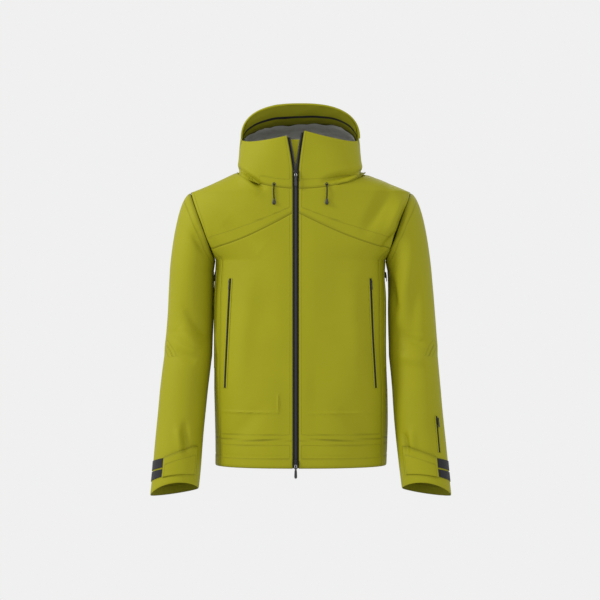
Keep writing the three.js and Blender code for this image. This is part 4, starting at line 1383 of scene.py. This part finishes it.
# ---------------------------------------------------------------- inside and cords
def inner_panels() -> list[Panel]:
    """Chin flap, pocket bags, snow skirt and hang loop."""
    squareness = 0.62

    def flap(u: Array, v: Array) -> Array:
        z = lerp(-90, 72, v)
        lean = np.maximum(0, (z - FORM.zip_v_z) / 85)
        return stack(FORM.zip_x + lerp(-26, 26, u), -FORM.front_depth(z) + 1.5 * lean, z)

    def skirt(u: Array, v: Array) -> Array:
        a, z = 2 * np.pi * u, lerp(-610, -560, v)
        power = 2 / FORM.square
        pleat = 1 - 0.012 * (1 - v) * (1 + np.sin(46 * a)) / 2
        cos, sin = (np.sign(f) * np.abs(f) ** power for f in (np.cos(a), np.sin(a)))
        depth = np.where(np.cos(a) > 0, FORM.front_depth(z), FORM.back_depth(z))
        half = np.interp(z, (-702, -520), (205, 208.5))
        return stack(half * sin * pleat, -cos * depth * pleat, z)

    def loop(u: Array, v: Array) -> Array:
        a = np.pi * v
        bow = np.sin(a) ** squareness
        x = -27 * np.sign(np.cos(a)) * np.abs(np.cos(a)) ** squareness
        return stack(x * (1 - 0.13 * u), 88.6 + 0 * u, -1.5 - bow * (13.5 - 3.6 * u))

    lined = {"seams": (0, 0, 0, 0), "depth": 0.8}
    panels = [
        Panel("flap", flap, 1, (60, 20), Finish.SHELL, ("chin_flap",), "torso", out=-5.2, depth=1.2,
              draped=0, rests_on=("front_body_left",), seams=(0, 0, 0, 0)),
        Panel("powder_skirt", skirt, 1, (10, 320), Finish.FACING, ("snow_skirt",), "torso", out=-6.2,
              wrap=True, held="gathered", rests_on=("back_body",), draped=0.6, **lined),
        Panel("loop_strap", loop, 1, (48, 6), Finish.TRIM, ("hang_loop",), "torso", depth=1.2, draped=0,
              roll=0, rests_on=("back_yoke",), seams=(0, 0, 0, 0), held="hung"),
        Panel("arm_bag", SLEEVE.surface(1), -1, (34, 24), Finish.FACING, ("forearm_pocket_bag",),
              "lower_arm_left", u=(0.84, 0.97), v=(0.716, 0.852), out=-2.8,
              rests_on=("forearm_left",), **lined),
    ]
    for name, side in SIDES:

        def bag(u: Array, v: Array, side: int = side) -> Array:
            x, z = side * lerp(66, 160, u), lerp(-572, -280, v)
            return stack(x, FORM.front_y(x, z), z)

        panels.append(Panel(f"bag_{name}", bag, side, (80, 28), Finish.FACING,
                            (f"hand_pocket_bag_{name}",), "torso", out=-3.4,
                            rests_on=(f"front_body_{name}",), **lined))
    return panels


def hood_cord(name: str, side: int) -> None:
    """Free end of a hood drawcord, its outlet and its toggle."""
    diameter, length, x, z = 3.0, 34.0, 62.0, -34.0
    t = np.linspace(0, 1, 16)
    drop = z - length * t
    y = FORM.front_y(np.full_like(t, side * x), drop) - 2.6 - 0.8 * t - 1.2 * np.sin(np.pi * t)
    points = stack(side * (x + 0.7 * np.sin(np.pi * t)), y, drop)
    curve = bpy.data.curves.new(f"cord_{name}", "CURVE")
    curve.dimensions = "3D"
    curve.bevel_depth = diameter / 2 * MM
    curve.bevel_resolution = 4
    spline = curve.splines.new("POLY")
    spline.points.add(len(points) - 1)
    spline.points.foreach_set("co", np.column_stack((points * MM, np.ones(len(points)))).ravel())
    curve.materials.append(bpy.data.materials[Finish.TRIM.look])
    cord = bpy.data.objects.new(f"cord_{name}", curve)
    bpy.context.scene.collection.objects.link(cord)
    place(cord, "torso", Finish.TRIM, f"hood_cord_{name}")
    top = points[-1] + (0, 0, 1.5)
    toggle = loft(f"toggle_{name}", top, top + (0, -0.4, -16.5), (4.0, 3.3), DROP, X_AXIS, Finish.PLASTIC)
    place(toggle, "torso", Finish.PLASTIC, f"hood_cord_toggle_{name}")
    outlet = hoop(f"outlet_{name}", points[0] + (0, 1.0, 0), X_AXIS, np.array((0, 0, 1.0)), (2.9, 2.9), 0.9,
                  Finish.PLASTIC.look)
    place(outlet, "torso", Finish.PLASTIC)


# ---------------------------------------------------------------- camera, lights and assembly
@dataclass(frozen=True)
class Lamp:
    """A soft square light aimed at a point; lengths are metres."""

    name: str
    place: tuple[float, float, float]
    aim: tuple[float, float, float]
    size: float
    watts: float


LAMPS = (
    Lamp("key", (-3.0, -1.3, 1.5), (0, 0, -0.25), 0.7, 70),
    Lamp("front", (0.2, -3.2, 0.9), (0, 0, 0.0), 0.7, 9),
    Lamp("rim", (0.6, 2.2, 1.4), (0, 0, -0.2), 1.6, 16),
)
BACKGROUND = 0.871


def add_camera() -> None:
    """Level camera in front of the jacket."""
    data = bpy.data.cameras.new("camera")
    data.lens = 112
    data.sensor_width = 36
    data.dof.use_dof = False
    camera = bpy.data.objects.new("camera", data)
    camera.location = (-0.001, -4.5, -0.307)
    camera.rotation_euler = (np.pi / 2, 0, 0)
    bpy.context.scene.collection.objects.link(camera)
    bpy.context.scene.camera = camera


def add_light() -> None:
    """Pale surroundings and three soft lamps."""
    scene = bpy.context.scene
    world = bpy.data.worlds.new("pale")
    world.use_nodes = True
    shade = world.node_tree.nodes["Background"]
    shade.inputs["Color"].default_value = (BACKGROUND, BACKGROUND, BACKGROUND, 1)
    shade.inputs["Strength"].default_value = 1.0
    scene.world = world
    scene.view_settings.view_transform = "Standard"
    for lamp in LAMPS:
        data = bpy.data.lights.new(lamp.name, "AREA")
        data.size = lamp.size
        data.energy = lamp.watts
        obj = bpy.data.objects.new(lamp.name, data)
        obj.location = lamp.place
        away = Vector(lamp.place) - Vector(lamp.aim)
        obj.rotation_euler = away.to_track_quat("Z", "Y").to_euler()
        scene.collection.objects.link(obj)


def main() -> None:
    """Dress the frame."""
    logging.basicConfig(level=logging.INFO)
    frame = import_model()
    LOG.info("nodes: %d", len(frame["nodes"]))
    add_camera()
    make_materials()
    for name, side in SIDES:
        hood_cord(name, side)
    panels = body_panels() + hood_panels() + inner_panels()
    for name, side in SIDES:
        panels += sleeve_panels(name, side) + front_zip_panels(name, side)
    for zip_ in set_zips():
        panels += zip_.parts()
    for panel in panels:
        sew(panel)
    for name, side in SIDES:
        front_teeth(name, side)
    for end in ("upper", "lower"):
        front_hardware(end)
    small_hardware()
    add_light()


if __name__ == "__main__":
    main()
